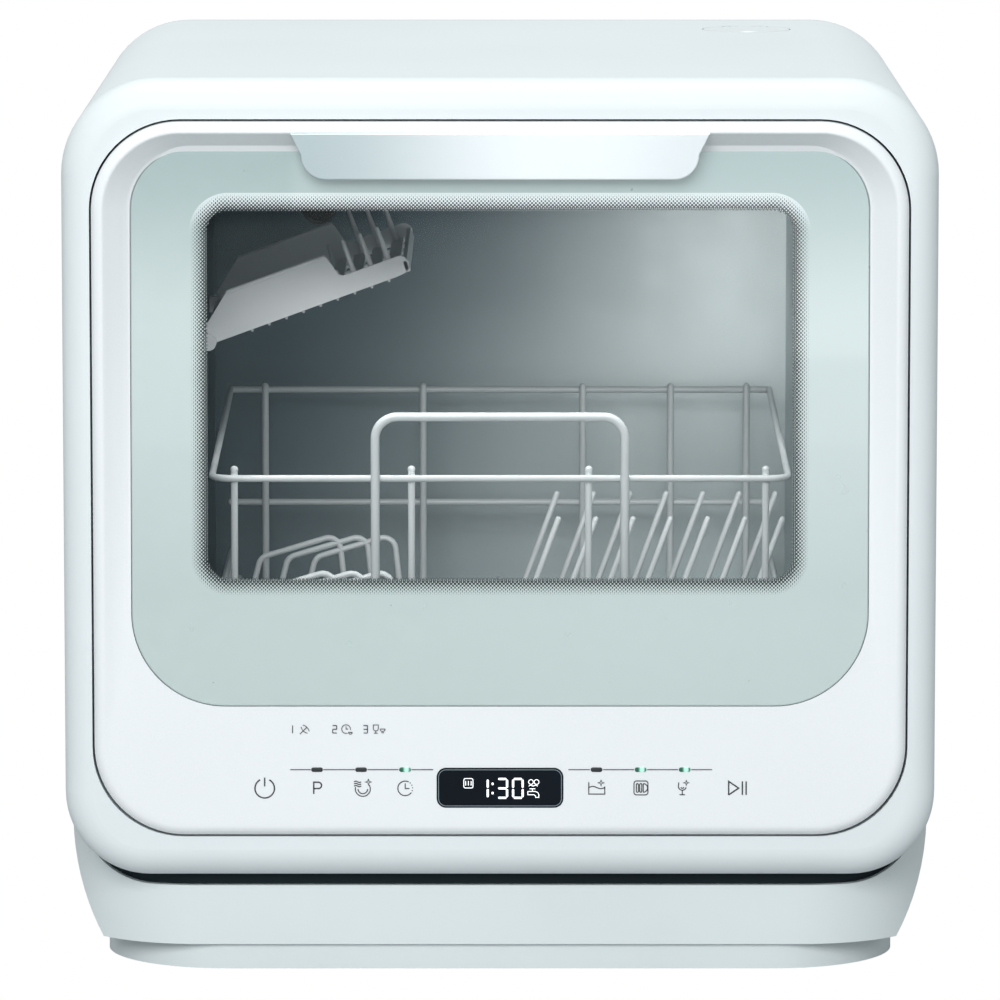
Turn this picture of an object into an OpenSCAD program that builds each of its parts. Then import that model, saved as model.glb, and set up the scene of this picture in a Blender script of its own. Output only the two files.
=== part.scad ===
// Countertop dishwasher with a drop-down glass door, a wire rack and a water tank.
// Frame: X to the right, Y to the back, Z up, origin on the ground under the middle.

/* [Cabinet] */
// Overall width of the cabinet
cab_w = 420; // [400:1:450]
// Overall height of the cabinet
cab_h = 435; // [425:1:460]
// Front of the frame to the back of the rear panel
cab_d = 411; // [405:1:450]
// Height of the cradle's top edge under the front
base_h = 43; // [40:1:48]
// Height of the dark band between the cradle and the cabinet
band_h = 6.3; // [4:0.1:8]
// Radius of the two upper corners of the cabinet
top_r = 46; // [40:1:52]
// Radius of the two lower corners of the cabinet
low_r = 41; // [38:1:44]
// Radius of the rounded front edge of the frame
edge_r = 14; // [10:0.5:16]
// Sheet thickness of the painted wrap
wrap_t = 1.2; // [0.8:0.1:2]
// Thickness of the rear panel
rear_t = 2.5; // [1.5:0.1:4]

/* [Cradle] */
// Radius of the cradle's bulging sides
cradle_r = 110; // [100:1:130]
// Corner radius of the cradle seen from above
cradle_corner = 64; // [50:1:70]
// Wall thickness of the cradle
cradle_t = 3; // [2:0.1:4]
// Height of the foot ring under the cradle
ring_h = 14; // [10:1:18]
// How far the cradle's front stands behind the frame's full width
cradle_back = 2; // [1:0.5:6]
// Radius of a rubber foot
foot_r = 13; // [8:1:18]
// Height that a rubber foot stands below the foot ring
foot_h = 1.5; // [1:0.1:3]

/* [Door] */
// Width of the frame beside the door
side_lip = 13.8; // [13:0.1:16]
// Height of the frame under the door
sill = 20.6; // [18.7:0.1:22.7]
// Height of the frame over the door
top_lip = 18.6; // [17:0.1:22]
// Gap between the door and the frame
door_gap = 1; // [0.8:0.1:1.6]
// How far the door's face stands in front of the frame
door_proud = 5; // [4.6:0.1:6]
// Radius of the door's rounded rim
rim_r = 5; // [4.5:0.1:6]
// Radius of the opening's corners
open_r = 43.5; // [42:0.5:45]
// Extra radius of the door's lower corners, so that they clear the frame as the door drops
corner_relief = 1; // [0.8:0.1:3]
// Thickness of the door from its face to the back of the inner liner
door_t = 36; // [34:0.5:38]
// Height of the flat control panel at the foot of the door
panel_h = 62; // [58:1:68]
// Hinge axis behind the door's face
pivot_back = 4.5; // [4.3:0.1:4.7]
// Hinge axis above the door's lower edge
pivot_up = 5.5; // [5.3:0.1:5.8]
// Radius of a hinge pin
pin_r = 1.5; // [1.3:0.1:1.6]

/* [Glass] */
// Door's side edge to the glass
glass_side = 18.2; // [16:0.1:25]
// Door's top edge to the glass
glass_top = 13.5; // [12.5:0.1:20]
// Thickness of the outer glass
glass_t = 4; // [3:0.5:5]
// Backward lean of the outer glass, in degrees
glass_tilt = 2.5; // [1.5:0.1:2.6]
// Radius of the glass panel's upper corners
glass_tr = 29; // [24:1:34]
// Radius of the glass panel's lower corners
glass_br = 45; // [38:1:50]
// Glass edge to the liner's window at the sides
win_side = 27; // [24:0.5:37]
// Glass edge to the liner's window at the top
win_top = 19.9; // [17:0.1:28]
// Glass edge to the liner's window at the foot
win_foot = 52.1; // [48:0.1:60]

/* [Handle] */
// Width of the silver pull plate along its top
pull_w = 200; // [180:1:210]
// Height of the pull plate
pull_h = 22; // [18:1:26]
// Thickness of the pull plate
pull_t = 2; // [1.5:0.1:3]
// Radius of the pull plate's lower corners
pull_r = 12; // [8:1:14]

/* [Control panel] */
// Width of the display window
disp_w = 61; // [50:0.5:66]
// Height of the display window
disp_h = 19.5; // [16:0.1:22]
// Distance between neighbouring touch fields
key_pitch = 21.3; // [19:0.1:23]
// Touch field nearest to the middle
key_first = 46; // [44:0.5:50]

/* [Wash chamber] */
// Cabinet's side to the inside of the chamber's wall
tub_side = 60; // [58:0.5:64]
// Height of the chamber's floor above the ground
tub_z = 113; // [111:1:116]
// Cabinet's top to the chamber's ceiling
tub_top = 40; // [39:0.5:46]
// Chamber's back wall to the cabinet's back
tub_back = 50; // [44:1:60]
// Wall of the chamber
tub_t = 1.5; // [1:0.1:2]
// Corner radius of the chamber's inside
tub_r = 22; // [15:1:30]
// Radius of the sump under the chamber
sump_r = 46; // [40:1:52]
// Depth of the sump
sump_h = 34; // [30:1:38]

/* [Rack] */
// Rack's side to the chamber's wall
rack_side = 8; // [8:0.5:12]
// Rack's rear to the chamber's back wall
rack_back = 42; // [36:1:60]
// Height of the rack's floor above the ground
rack_z = 150; // [149:0.5:153]
// Height of the rack's front rail above its floor
rail_up = 88; // [75:1:95]
// Radius of the thin wire
wire_r = 1.5; // [1.2:0.1:1.8]
// Radius of the rail wire
rail_r = 1.7; // [1.5:0.1:2]
// Radius of the handle wire
grip_r = 2.2; // [1.8:0.1:2.6]
// Length of a plate tine
tine_l = 58; // [50:1:60]
// Plate tines in a row
tine_n = 7; // [4:1:7]
// How far the tines lean, in degrees
tine_lean = 20; // [0:1:25]

/* [Cup shelf] */
// Length of the cup shelf away from the wall
shelf_l = 106; // [90:1:110]
// Depth of the cup shelf along the wall
shelf_d = 170; // [120:1:200]
// Tilt of the cup shelf, in degrees
shelf_tilt = 20; // [15:1:22]
// Chamber's ceiling to the shelf's pivot
shelf_drop = 99; // [95:1:105]

/* [Spray arm] */
// Tip of the spray arm to the chamber's side wall
arm_gap = 19; // [17:0.5:30]
// Width of the spray arm at its hub
arm_w = 46; // [36:1:54]
// Radius of the hub spindle
spindle_r = 8; // [6:0.5:10]

/* [Hidden] */
$fn = 96;
slack = 0.3;                                  // clearance between pieces that don't touch
run_fit = 0.05;                               // radial clearance of a running pivot
lap = 0.5;                                    // how far a rim reaches into its slabs
cap_z = base_h + band_h;                      // lowest edge of the cabinet above the cradle
cap_h = cab_h - cap_z;
back_y = 200;
frame_y = back_y - cab_d;                     // front of the frame
face_y = frame_y - door_proud;                // front of the door
wide_y = frame_y + edge_r;                    // where the frame reaches its full width
wrap_y = wide_y + 3;                          // seam between the frame and the wrap
open_w = cab_w - 2 * side_lip;
open_z = cap_z + sill;
open_h = cab_h - top_lip - open_z;
door_w = open_w - 2 * door_gap;
door_h = open_h - 2 * door_gap;
door_z = open_z + door_gap;
door_r = open_r - door_gap;
shell_t = 20;                                 // depth of the door's moulding
pivot_y = face_y + pivot_back;
pivot_z = door_z + pivot_up;
liner_y = face_y + door_t;                    // back of the door
liner_cut = 13;                               // how much shorter the liner is than the door
panel_z = door_z + panel_h;                   // top of the flat control panel
glass_z = panel_z + 1;
glass_y = face_y + 0.8;                       // front of the glass at its lower edge
glass_w = door_w - 2 * glass_side;
glass_h = door_h - panel_h - 1 - glass_top;
win_w = glass_w - 2 * win_side;
win_h = glass_h - win_foot - win_top;
win_z = glass_z + win_foot;
pull_z = door_z + door_h - pull_h - 5.4;      // lower edge of the pull plate
pull_y = face_y - 1.5;                        // front of the pull plate
pull_in = 5;                                  // how far the pull plate's sides close downwards
tab_x = 80;                                   // middle of a folded tab on the pull plate
disp_z = panel_z - 48.2;                      // lower edge of the display
light_z = panel_z - 29.6;                     // middle of the lamps
light_w = 5.6;
light_h = 2.2;
key_z = panel_z - 38.4;                       // middle of the touch fields
light_x = [for (s = [-1, 1], k = [0:2]) s * (key_first + k * key_pitch)];
key_x = concat(light_x, [for (s = [-1, 1]) s * (key_first + 3 * key_pitch + 4)]);
board_x = door_w / 2 - 60;                    // half the control board
flange_y = liner_y + 8;                       // front of the chamber's flange
flange_t = 2;
flange_w = cab_w - 36;
tub_w = cab_w - 2 * tub_side;
tub_h = cab_h - tub_top - tub_z;
tub_y = back_y - tub_back;                    // inside of the chamber's back wall
tub_d = tub_y - flange_y;
latch_z = tub_z + tub_h + 11.6;               // lower side of the latch tongue
hub_y = flange_y + tub_d / 2 - 6;             // the spray arm turns in the middle of the chamber
arm_z = tub_z + 10;
arm_l = min(tub_w, tub_d) - 2 * arm_gap;
sump_z = tub_z - tub_t - sump_h;              // underside of the sump
sump_mid = sump_z + 13;                       // height of the sump's outlets
outlet_r = 9;
pump_x = sump_r + 49;                         // the wash pump stands beside the sump
heater_x = -sump_r - 64;                      // outer end of the heater
heater_z = sump_z - 15.5;                     // the heater lies under the chamber
drain_y = hub_y + 88;                         // the drain pump stands behind the sump
port_z = 82;                                  // height of the connections on the back
inlet_x = 60;
drain_x = 120;
cord_x = -120;
tank_x0 = tub_w / 2 + tub_t + 6;
tank_x1 = cab_w / 2 - wrap_t - 4;
tank_y0 = wrap_y + 44;
tank_y1 = back_y - 25;
tank_z = 108;
tank_top = cab_h - 43;
tank_t = 2;
mouth_x0 = tank_x0 + 10.5;                    // the tank's mouth under the duct
mouth_x1 = mouth_x0 + 20;
duct_z = tank_top + 11;
duct_w = 10;                                  // half the duct's width inside
neck_x = tub_w / 2 - 22;
neck_y = back_y - 70;
neck_r = 18;
lid_pin_y = neck_y + neck_r + 3;
lid_pin_z = cab_h - 1;
lid_pin_r = 0.6;
lid_t = 1.8;
lug_x = 9.6;                                  // middle of a lug beside the lid's barrel
lug_half = 1.4;
fan_x = 55 - tub_w / 2;
fan_z = cab_h - 95;                           // height of the fan's outlet
board_z = cab_h - 185;                        // lower edge of the main board
hinge_x = door_w / 2 - 72.2;
lug_w = 6;                                    // width of a hinge lug
lug_r = 2.6;
screw_r = 2;
screw_points = [for (s = [-1, 1], z = [cap_z + 45, (cap_z + cab_h) / 2, cab_h - 35])
                [s * (cab_w / 2 - 25), z]];
vent_x = cab_w / 2 - 120;                     // middle of a field of vents
vent_z = cab_h - 105;                         // lowest vent
vent_half = 40;
ring_x = cab_w / 2 - 17.5;                    // half the foot ring
band_top = cap_z + 22;
foot_points = [for (x = [-1, 1], y = [wide_y + 57, back_y - 60]) [x * (ring_x - 52.5), y]];
rack_y = liner_y + 10;                        // front of the rack
rack_w = tub_w - 2 * rack_side;
rack_d = tub_y - rack_back - rack_y;
rack_x = rack_w / 2;
rail_z = rack_z + rail_up;
rear_rail_z = rail_z + 11;
fence_z = rack_z + 14;
side_x = rack_x - 2;                          // the rack's side grids
rear_y = rack_y + rack_d;                     // the rack's rear grid
cross_y = [for (k = [0:6]) rack_y + 12 + k * (rack_d - 20) / 6];
cross_z = rack_z - wire_r - rail_r + 0.8;     // the cross wires under the rack's floor
post_x = [-rack_x + 13, -43, 43, rack_x - 13];
knob_r = 2.4;
grip_x = 60.5;
grip_z = rail_z + 30.5;
grip_bend = 10.5;
guide_z = tub_z + tub_r + 1;                  // underside of the rack's rails on the walls
guide_h = 6;
shoe_y = [cross_y[1] - 12, cross_y[5] - 12];
tine_x = 9;
tine_pitch = (rack_x - 31) / 6;
tine_z = rack_z + 2 * wire_r;                 // foot wire of the tines, lying on the floor
loop_x = -rack_x + 14;
loop_pitch = 14;
shelf_x = -tub_w / 2 + 6;
shelf_y = flange_y + 85;
shelf_z = tub_z + tub_h - shelf_drop;
cheek_h = 20;                                 // height of the shelf's side walls
lip_h = 8;
prong_h = 24;
stub_r = 1.5;                                 // stub pins that carry the shelf
stub_l = 5;

// Rounded rectangle with its lower edge at the origin.
module plate2d(w, h, rt, rb) {
    translate([-w / 2, rb]) square([w, h - rt - rb]);
    translate([-w / 2 + rt, h - rt]) square([w - 2 * rt, rt]);
    translate([-w / 2 + rb, 0]) square([w - 2 * rb, rb]);
    for (s = [-1, 1]) {
        translate([s * (w / 2 - rt), h - rt]) circle(rt);
        translate([s * (w / 2 - rb), rb]) circle(rb);
    }
}

// Extrudes a front view between two depths.
module slab(y0, y1) translate([0, y1, 0]) rotate([90, 0, 0]) linear_extrude(y1 - y0) children();

// A rounded plate between two depths, drawn in a margin from a larger one.
module plate(y0, y1, z, w, h, rt, rb) slab(y0, y1) translate([0, z]) plate2d(w, h, rt, rb);

// Carries a profile round a rounded rectangle. The profile's x runs inwards from the outline,
// and its y runs forwards from the plane y1.
module sweep(y1, z, w, h, rt, rb) translate([0, y1, z]) rotate([90, 0, 0]) {
    for (c = [[w / 2 - rt, h - rt, rt, 0], [-w / 2 + rt, h - rt, rt, 90],
              [-w / 2 + rb, rb, rb, 180], [w / 2 - rb, rb, rb, 270]])
        translate([c[0], c[1], 0]) rotate([0, 0, c[3]]) rotate_extrude(angle = 90)
            translate([c[2], 0]) mirror([1, 0]) children();
    for (s = [[w / 2, h - rt, 0, h - rt - rb], [-w / 2 + rt, h, 90, w - 2 * rt],
              [-w / 2, rb, 180, h - rt - rb], [w / 2 - rb, 0, 270, w - 2 * rb]])
        translate([s[0], s[1], 0]) rotate([0, 0, s[2]]) rotate([90, 0, 0])
            linear_extrude(s[3]) mirror([1, 0]) children();
}

// Quarter round that fills the outer edge of a plate, its corner cut away outside.
module quarter(r) intersection() {
    translate([r, 0]) circle(r);
    square(r);
}

// A plate with a rounded front edge, made of a back slab, a rim and a front slab. The rim
// reaches into both slabs.
module soft_plate(y0, y1, z, w, h, rt, rb, r) {
    plate(y0 + r, y1, z, w, h, rt, rb);
    sweep(y0 + r, z, w, h, rt, rb) {
        quarter(r);
        translate([lap, -lap]) square([r, 2 * lap]);
        translate([r - lap, 0]) square([2 * lap, r - lap]);
    }
    plate(y0, y0 + r, z + r, w - 2 * r, h - 2 * r, rt - r, rb - r);
}

// A round bar between two points.
module bar(p, q, r) {
    d = q - p;
    l = norm(d);
    translate(p) rotate([0, acos(d[2] / l), atan2(d[1], d[0])]) cylinder(h = l, r = r);
}

// Bars through a list of points, with a slightly fuller ball at every bend.
module wire(pts, r) {
    for (i = [0:len(pts) - 2]) bar(pts[i], pts[i + 1], r);
    if (len(pts) > 2) for (i = [1:len(pts) - 2]) translate(pts[i]) sphere(r * 1.06);
}

// Quarter bend in the plane across Y, its straight ends pointing along X and Z.
module bend(at, r_bend, r, turn) translate(at) rotate([90, 0, 0]) rotate([0, 0, turn])
    rotate_extrude(angle = 90) translate([r_bend, 0]) circle(r);

// A box given by its lowest and highest corner.
module block(a, b) translate(a) cube(b - a);

// Front view of the cradle, drawn in by a margin.
module cradle_front(m) {
    intersection() {
        translate([-cab_w / 2, ring_h]) square([cab_w, cap_z + low_r - ring_h - 8]);
        union() {
            for (s = [-1, 1]) translate([s * (cab_w / 2 - cradle_r), cap_z + low_r - 18])
                circle(cradle_r - m);
            translate([-cab_w / 2 + cradle_r, 0]) square([cab_w - 2 * cradle_r, 2 * cap_z]);
        }
    }
}

// Plan of the cradle, drawn in by a margin.
module cradle_plan(m, z0, z1) translate([0, 0, z0]) linear_extrude(z1 - z0) {
    w = cab_w - 2 * m;
    d = back_y - 3 - wide_y - cradle_back - 2 * m;
    translate([0, wide_y + cradle_back + m]) plate2d(w, d, cradle_corner - m, cradle_corner - m);
}

// Plan of the foot ring under the cradle, drawn in by a margin.
module ring_plan(m, z0, z1) translate([0, 0, z0]) linear_extrude(z1 - z0) {
    d = back_y - 3 - wide_y - cradle_back - 2 * m - 5;
    translate([0, wide_y + cradle_back + 2.5 + m]) plate2d(2 * ring_x - 2 * m, d, 60 - m, 60 - m);
}

module cabinet_outline(drop = 0, grow = 0)
    translate([0, cap_z - drop - grow])
        plate2d(cab_w + 2 * grow, cap_h + 2 * grow, top_r + grow, low_r + grow);

module outer_wrap() color("gainsboro") difference() {
    slab(wrap_y, back_y - rear_t) difference() {
        cabinet_outline();
        cabinet_outline(0, -wrap_t);
    }
    block([-cab_w / 2 + 50, wrap_y - 1, cap_z - 5], [cab_w / 2 - 50, back_y, cap_z + 10]);
    translate([neck_x, neck_y, cab_h - 10]) cylinder(h = 20, r = neck_r + 5);
    block([neck_x - 11.6, neck_y, cab_h - 10], [neck_x + 11.6, lid_pin_y + 3, cab_h + 1]);
}

module front_frame() color("white") difference() {
    soft_plate(frame_y, wrap_y, cap_z, cab_w, cap_h, top_r, low_r, edge_r);
    plate(frame_y - 1, wrap_y + 1, open_z, open_w, open_h, open_r, open_r);
    sweep(wrap_y + 1, cap_z, cab_w, cap_h, top_r, low_r)
        translate([3.5, 0]) square([7.5, wrap_y + 1 - wide_y + 6]);
}

module rear_panel() color("lightgray") difference() {
    plate(back_y - rear_t, back_y, cap_z, cab_w, cap_h, top_r, low_r);
    for (i = [0:11], s = [-1, 1])
        block([s * vent_x - vent_half, back_y - 5, vent_z + i * 6],
              [s * vent_x + vent_half, back_y + 1, vent_z + 3 + i * 6]);
    for (x = [cord_x, inlet_x, drain_x])
        bar([x, back_y - 5, port_z], [x, back_y + 1, port_z], x == drain_x ? 9 : 15);
    for (p = screw_points) bar([p[0], back_y - 5, p[1]], [p[0], back_y + 1, p[1]], screw_r + slack);
}

module cradle_base() color("white") difference() {
    union() {
        intersection() {
            slab(wide_y, back_y) cradle_front(0);
            cradle_plan(0, ring_h, cap_z + low_r);
        }
        ring_plan(0, foot_h, ring_h);
    }
    slab(wide_y - 1, back_y + 1) cabinet_outline();
    slab(wide_y - 1, back_y + 1) intersection() {
        cabinet_outline(band_h);
        translate([-cab_w / 2, 0]) square([cab_w, band_top]);
    }
    intersection() {
        slab(wide_y, back_y) cradle_front(cradle_t);
        cradle_plan(cradle_t + 1, ring_h - 1, cap_z + low_r + 1);
    }
    ring_plan(cradle_t, foot_h + cradle_t, ring_h + 1);
    for (p = foot_points) translate([p[0], p[1], 0]) cylinder(h = foot_h + 2, r = foot_r + slack);
}

module dark_band() color("#232d34") difference() {
    slab(wide_y + 5, back_y - 7) intersection() {
        difference() {
            cabinet_outline(band_h - 0.1, -0.1);
            cabinet_outline(0, 0.1);
        }
        translate([-cab_w / 2, 0]) square([cab_w, band_top - 2]);
    }
    block([-cab_w / 2 + 45, wide_y + 12, 0], [cab_w / 2 - 45, back_y - 14, cap_z + 1]);
    difference() {
        cradle_plan(-60, 0, cap_z + 30);
        cradle_plan(4, -1, cap_z + 31);
    }
}

module rubber_feet() color("#303030") for (p = foot_points)
    translate([p[0], p[1], 0]) cylinder(h = foot_h + 2, r = foot_r);

module tub() color("silver") difference() {
    plate(flange_y + flange_t, tub_y + tub_t, tub_z - tub_t, tub_w + 2 * tub_t, tub_h + 2 * tub_t,
          tub_r + tub_t, tub_r + tub_t);
    plate(flange_y - 1, tub_y, tub_z, tub_w, tub_h, tub_r, tub_r);
    translate([0, hub_y, tub_z - 5]) cylinder(h = 10, r = sump_r);
    bar([fan_x, tub_y - 5, fan_z], [fan_x, tub_y + 5, fan_z], 9);
    bar([inlet_x, tub_y - 5, tub_z + 20], [inlet_x, tub_y + 5, tub_z + 20], 7);
}

module tub_flange() color("silver") difference() {
    plate(flange_y, flange_y + flange_t, tub_z - 30, flange_w, tub_h + 42, tub_r + 14, tub_r + 14);
    plate(flange_y - 1, flange_y + flange_t + 1, tub_z, tub_w, tub_h, tub_r, tub_r);
}

module tub_gasket() color("#505458")
    sweep(flange_y, tub_z - 9, tub_w + 18, tub_h + 18, tub_r + 9, tub_r + 9) {
        translate([4, 3.8]) circle(3.8);
        translate([1.5, 0]) square([5, 3]);
    }

module sump() color("dimgray") translate([0, hub_y, 0]) difference() {
    union() {
        translate([0, 0, sump_z]) cylinder(h = sump_h, r = sump_r + 3);
        translate([0, 0, sump_z - 10]) cylinder(h = 11, r = 20);
    }
    translate([0, 0, sump_z + 2.5]) cylinder(h = sump_h, r = sump_r + 0.5);
    translate([0, 0, sump_z - 7]) cylinder(h = 11, r = 17);
    for (a = [0, 90]) rotate([0, 0, a]) bar([30, 0, sump_mid], [60, 0, sump_mid], outlet_r);
}

module filter_plate() color("silver") translate([0, hub_y, tub_z - 3]) difference() {
    cylinder(h = 2, r = sump_r - slack);
    translate([0, 0, -1]) cylinder(h = 4, r = 12);
    translate([0, -29, -1]) cylinder(h = 4, r = 12);
    for (k = [1:11], r = [20, 28, 36]) if (k * 30 < 240 || k * 30 > 300)
        rotate([0, 0, k * 30]) translate([r, 0, -1]) cylinder(h = 4, r = 2);
}

module filter_mesh() color("gainsboro") translate([0, hub_y - 29, tub_z - sump_h + 4]) difference() {
    union() {
        cylinder(h = sump_h - 3, r = 11);
        translate([0, 0, sump_h - 6]) cylinder(h = 3, r = 11.7);
    }
    translate([0, 0, 2]) cylinder(h = sump_h, r = 9.5);
    for (a = [0:30:330], z = [5, 11, 17])
        rotate([0, 0, a]) translate([7, -1.2, z]) cube([8, 2.4, 4]);
}

module spray_spindle() color("dimgray") translate([0, hub_y, 0]) difference() {
    union() {
        translate([0, 0, tub_z - 12]) cylinder(h = arm_z + 31 - tub_z, r = spindle_r);
        translate([0, 0, tub_z - 12]) cylinder(h = 8, r = 11);
        translate([0, 0, arm_z - 5.1]) cylinder(h = 5, r = spindle_r + 4);
        translate([0, 0, arm_z + 14.3]) cylinder(h = 4.7, r = spindle_r + 5);
    }
    translate([0, 0, tub_z - 13]) cylinder(h = 34, r = spindle_r - 2.5);
}

module spray_arm() color("#4a4f55") translate([0, hub_y, arm_z]) difference() {
    union() {
        cylinder(h = 14, r = arm_w / 2);
        for (a = [0, 180]) rotate([0, 0, a]) {
            linear_extrude(10) polygon([[0, -arm_w / 2 + 2], [arm_l / 2 - 12, -9],
                                        [arm_l / 2 - 12, 9], [0, arm_w / 2 - 2]]);
            translate([arm_l / 2 - 12, 0, 0]) cylinder(h = 10, r = 9);
        }
    }
    translate([0, 0, -1]) cylinder(h = 17, r = spindle_r + run_fit);
    for (a = [0, 180], k = [0:3]) rotate([0, 0, a])
        translate([38 + k * 24, k % 2 == 0 ? 3 : -3, 7]) cylinder(h = 5, r = 1.6);
}

module wash_pump() color("dimgray") translate([pump_x, hub_y, 50]) {
    cylinder(h = 24, r = 30);
    translate([0, 0, -30]) cylinder(h = 31, r = 24);
    translate([0, 0, -38]) cylinder(h = 9, r = 15);
}

module drain_pump() color("darkslategray") translate([0, drain_y, 84]) {
    bar([0, -14, 0], [0, 10, 0], 19);
    bar([0, 10, 0], [0, 40, 0], 14);
    bar([0, 0, -10], [30, 0, -10], 5);
}

module heater() color("silver") {
    bar([heater_x, hub_y, heater_z], [heater_x + 50, hub_y, heater_z], 19);
    bar([heater_x - 8, hub_y, heater_z], [heater_x + 1, hub_y, heater_z], 22);
}

module pump_pipes() color("#8a8f94") {
    wire([[sump_r + 3.2, hub_y, sump_mid], [pump_x, hub_y, sump_mid], [pump_x, hub_y, 74.2]], 8);
    wire([[0, hub_y + sump_r + 3.2, sump_mid], [0, drain_y - 14.3, sump_mid]], 8);
    wire([[30.3, drain_y, 74], [52, drain_y, 74], [drain_x, tub_y, port_z],
          [drain_x, back_y - 12.3, port_z]], 5);
}

module water_tank() color("aliceblue") difference() {
    block([tank_x0, tank_y0, tank_z], [tank_x1, tank_y1, tank_top]);
    block([tank_x0 + tank_t, tank_y0 + tank_t, tank_z + tank_t],
          [tank_x1 - tank_t, tank_y1 - tank_t, tank_top - tank_t]);
    block([mouth_x0, neck_y - duct_w, tank_top - 5], [mouth_x1, neck_y + duct_w, tank_top + 1]);
}

module filler_neck() color("aliceblue") difference() {
    union() {
        translate([neck_x, neck_y, duct_z]) cylinder(h = cab_h - 7 - duct_z, r = neck_r);
        translate([neck_x, neck_y, cab_h - 7]) cylinder(h = 5, r = neck_r + 4);
        block([neck_x, neck_y - duct_w - 2, duct_z],
              [mouth_x1 + 2, neck_y + duct_w + 2, duct_z + 17]);
        block([mouth_x0 - 2, neck_y - duct_w - 2, tank_top],
              [mouth_x1 + 2, neck_y + duct_w + 2, duct_z + 1]);
        for (s = [-1, 1]) block([neck_x + s * lug_x - lug_half, lid_pin_y - 5, cab_h - 7],
                                [neck_x + s * lug_x + lug_half, lid_pin_y + 2, cab_h - 0.1]);
    }
    translate([neck_x, neck_y, duct_z + 2]) cylinder(h = 60, r = neck_r - 2);
    block([neck_x, neck_y - duct_w, duct_z + 2], [mouth_x1, neck_y + duct_w, duct_z + 15]);
    block([mouth_x0, neck_y - duct_w, tank_top - 1], [mouth_x1, neck_y + duct_w, duct_z + 3]);
    translate([neck_x - 8.2, neck_y + 10, cab_h - 2.2]) cube([16.4, 20, 5]);
    bar([neck_x - 12, lid_pin_y, lid_pin_z], [neck_x + 12, lid_pin_y, lid_pin_z], lid_pin_r);
}

module lid_pin() color("silver")
    bar([neck_x - 10.8, lid_pin_y, lid_pin_z], [neck_x + 10.8, lid_pin_y, lid_pin_z], lid_pin_r);

module filler_lid() color("white") difference() {
    union() {
        intersection() {
            translate([neck_x, neck_y, cab_h - lid_t]) cylinder(h = lid_t, r = neck_r + 4.4);
            block([neck_x - 40, neck_y - 40, cab_h - 2], [neck_x + 40, lid_pin_y, cab_h]);
        }
        bar([neck_x - 7.6, lid_pin_y, lid_pin_z], [neck_x + 7.6, lid_pin_y, lid_pin_z], 1);
        translate([neck_x, neck_y - 1, cab_h - 6]) cylinder(h = 4.5, r = neck_r - 4.5);
    }
    for (s = [-1, 1]) translate([neck_x + s * (lug_x + 4), lid_pin_y, cab_h])
        block([-lug_half - 4 - slack, -5 - slack, -3], [lug_half + 4 + slack, 3, 1]);
    bar([neck_x - 12, lid_pin_y, lid_pin_z], [neck_x + 12, lid_pin_y, lid_pin_z], lid_pin_r + run_fit);
    translate([neck_x, neck_y - neck_r, cab_h + 6]) sphere(8);
}

module inlet_valve() color("white") {
    block([inlet_x - 15, back_y - 50, port_z - 12], [inlet_x + 25, back_y - 24, port_z + 12]);
    bar([inlet_x, back_y - 24, port_z], [inlet_x, back_y - 12.3, port_z], 8);
}

module level_switch() color("#202020") {
    block([-60, hub_y + 60, 85], [-36, hub_y + 84, 108]);
    bar([-48, hub_y + 72, 78], [-48, hub_y + 72, 86], 4);
}

module drying_fan() color("#303438") difference() {
    union() {
        block([fan_x - 30, tub_y + 3, fan_z - 45], [fan_x + 30, tub_y + 28, fan_z + 25]);
        bar([fan_x, tub_y + 1.6, fan_z], [fan_x, tub_y + 4, fan_z], 12);
    }
    bar([fan_x, tub_y + 1, fan_z], [fan_x, tub_y + 20, fan_z], 9);
}

module main_board() color("darkgreen") {
    block([0, tub_y + 12, board_z], [100, tub_y + 14, board_z + 80]);
    for (x = [10:24:82])
        block([x, tub_y + 14, board_z + 12], [x + 14, tub_y + 28, board_z + 30]);
}

module cord_gland() color("#202020") difference() {
    union() {
        bar([cord_x, back_y - 6, port_z], [cord_x, back_y + 12, port_z], 8);
        bar([cord_x, back_y + 0.1, port_z], [cord_x, back_y + 3, port_z], 13);
    }
    bar([cord_x, back_y - 7, port_z], [cord_x, back_y + 13, port_z], 3.6);
}

module inlet_connector() color("lightgray") difference() {
    union() {
        bar([inlet_x, back_y - 12, port_z], [inlet_x, back_y + 17.5, port_z], 13.2);
        bar([inlet_x, back_y + 0.1, port_z], [inlet_x, back_y + 3, port_z], 19);
    }
    bar([inlet_x, back_y - 9, port_z], [inlet_x, back_y + 18, port_z], 8);
}

module drain_spigot() color("dimgray") difference() {
    union() {
        bar([drain_x, back_y - 12, port_z], [drain_x, back_y + 17.5, port_z], 8.7);
        bar([drain_x, back_y + 0.1, port_z], [drain_x, back_y + 3, port_z], 14);
    }
    bar([drain_x, back_y - 9, port_z], [drain_x, back_y + 18, port_z], 6);
}

module rack_rails() color("gray") for (s = [-1, 1]) translate([s * (tub_w / 2 - 4), 0, 0])
    block([-4, rack_y + 14, guide_z], [4, tub_y - 20, guide_z + guide_h]);

module hinge_pins() color("silver") for (s = [-1, 1])
    bar([s * hinge_x - 8, pivot_y, pivot_z], [s * hinge_x + 8, pivot_y, pivot_z], pin_r);

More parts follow.
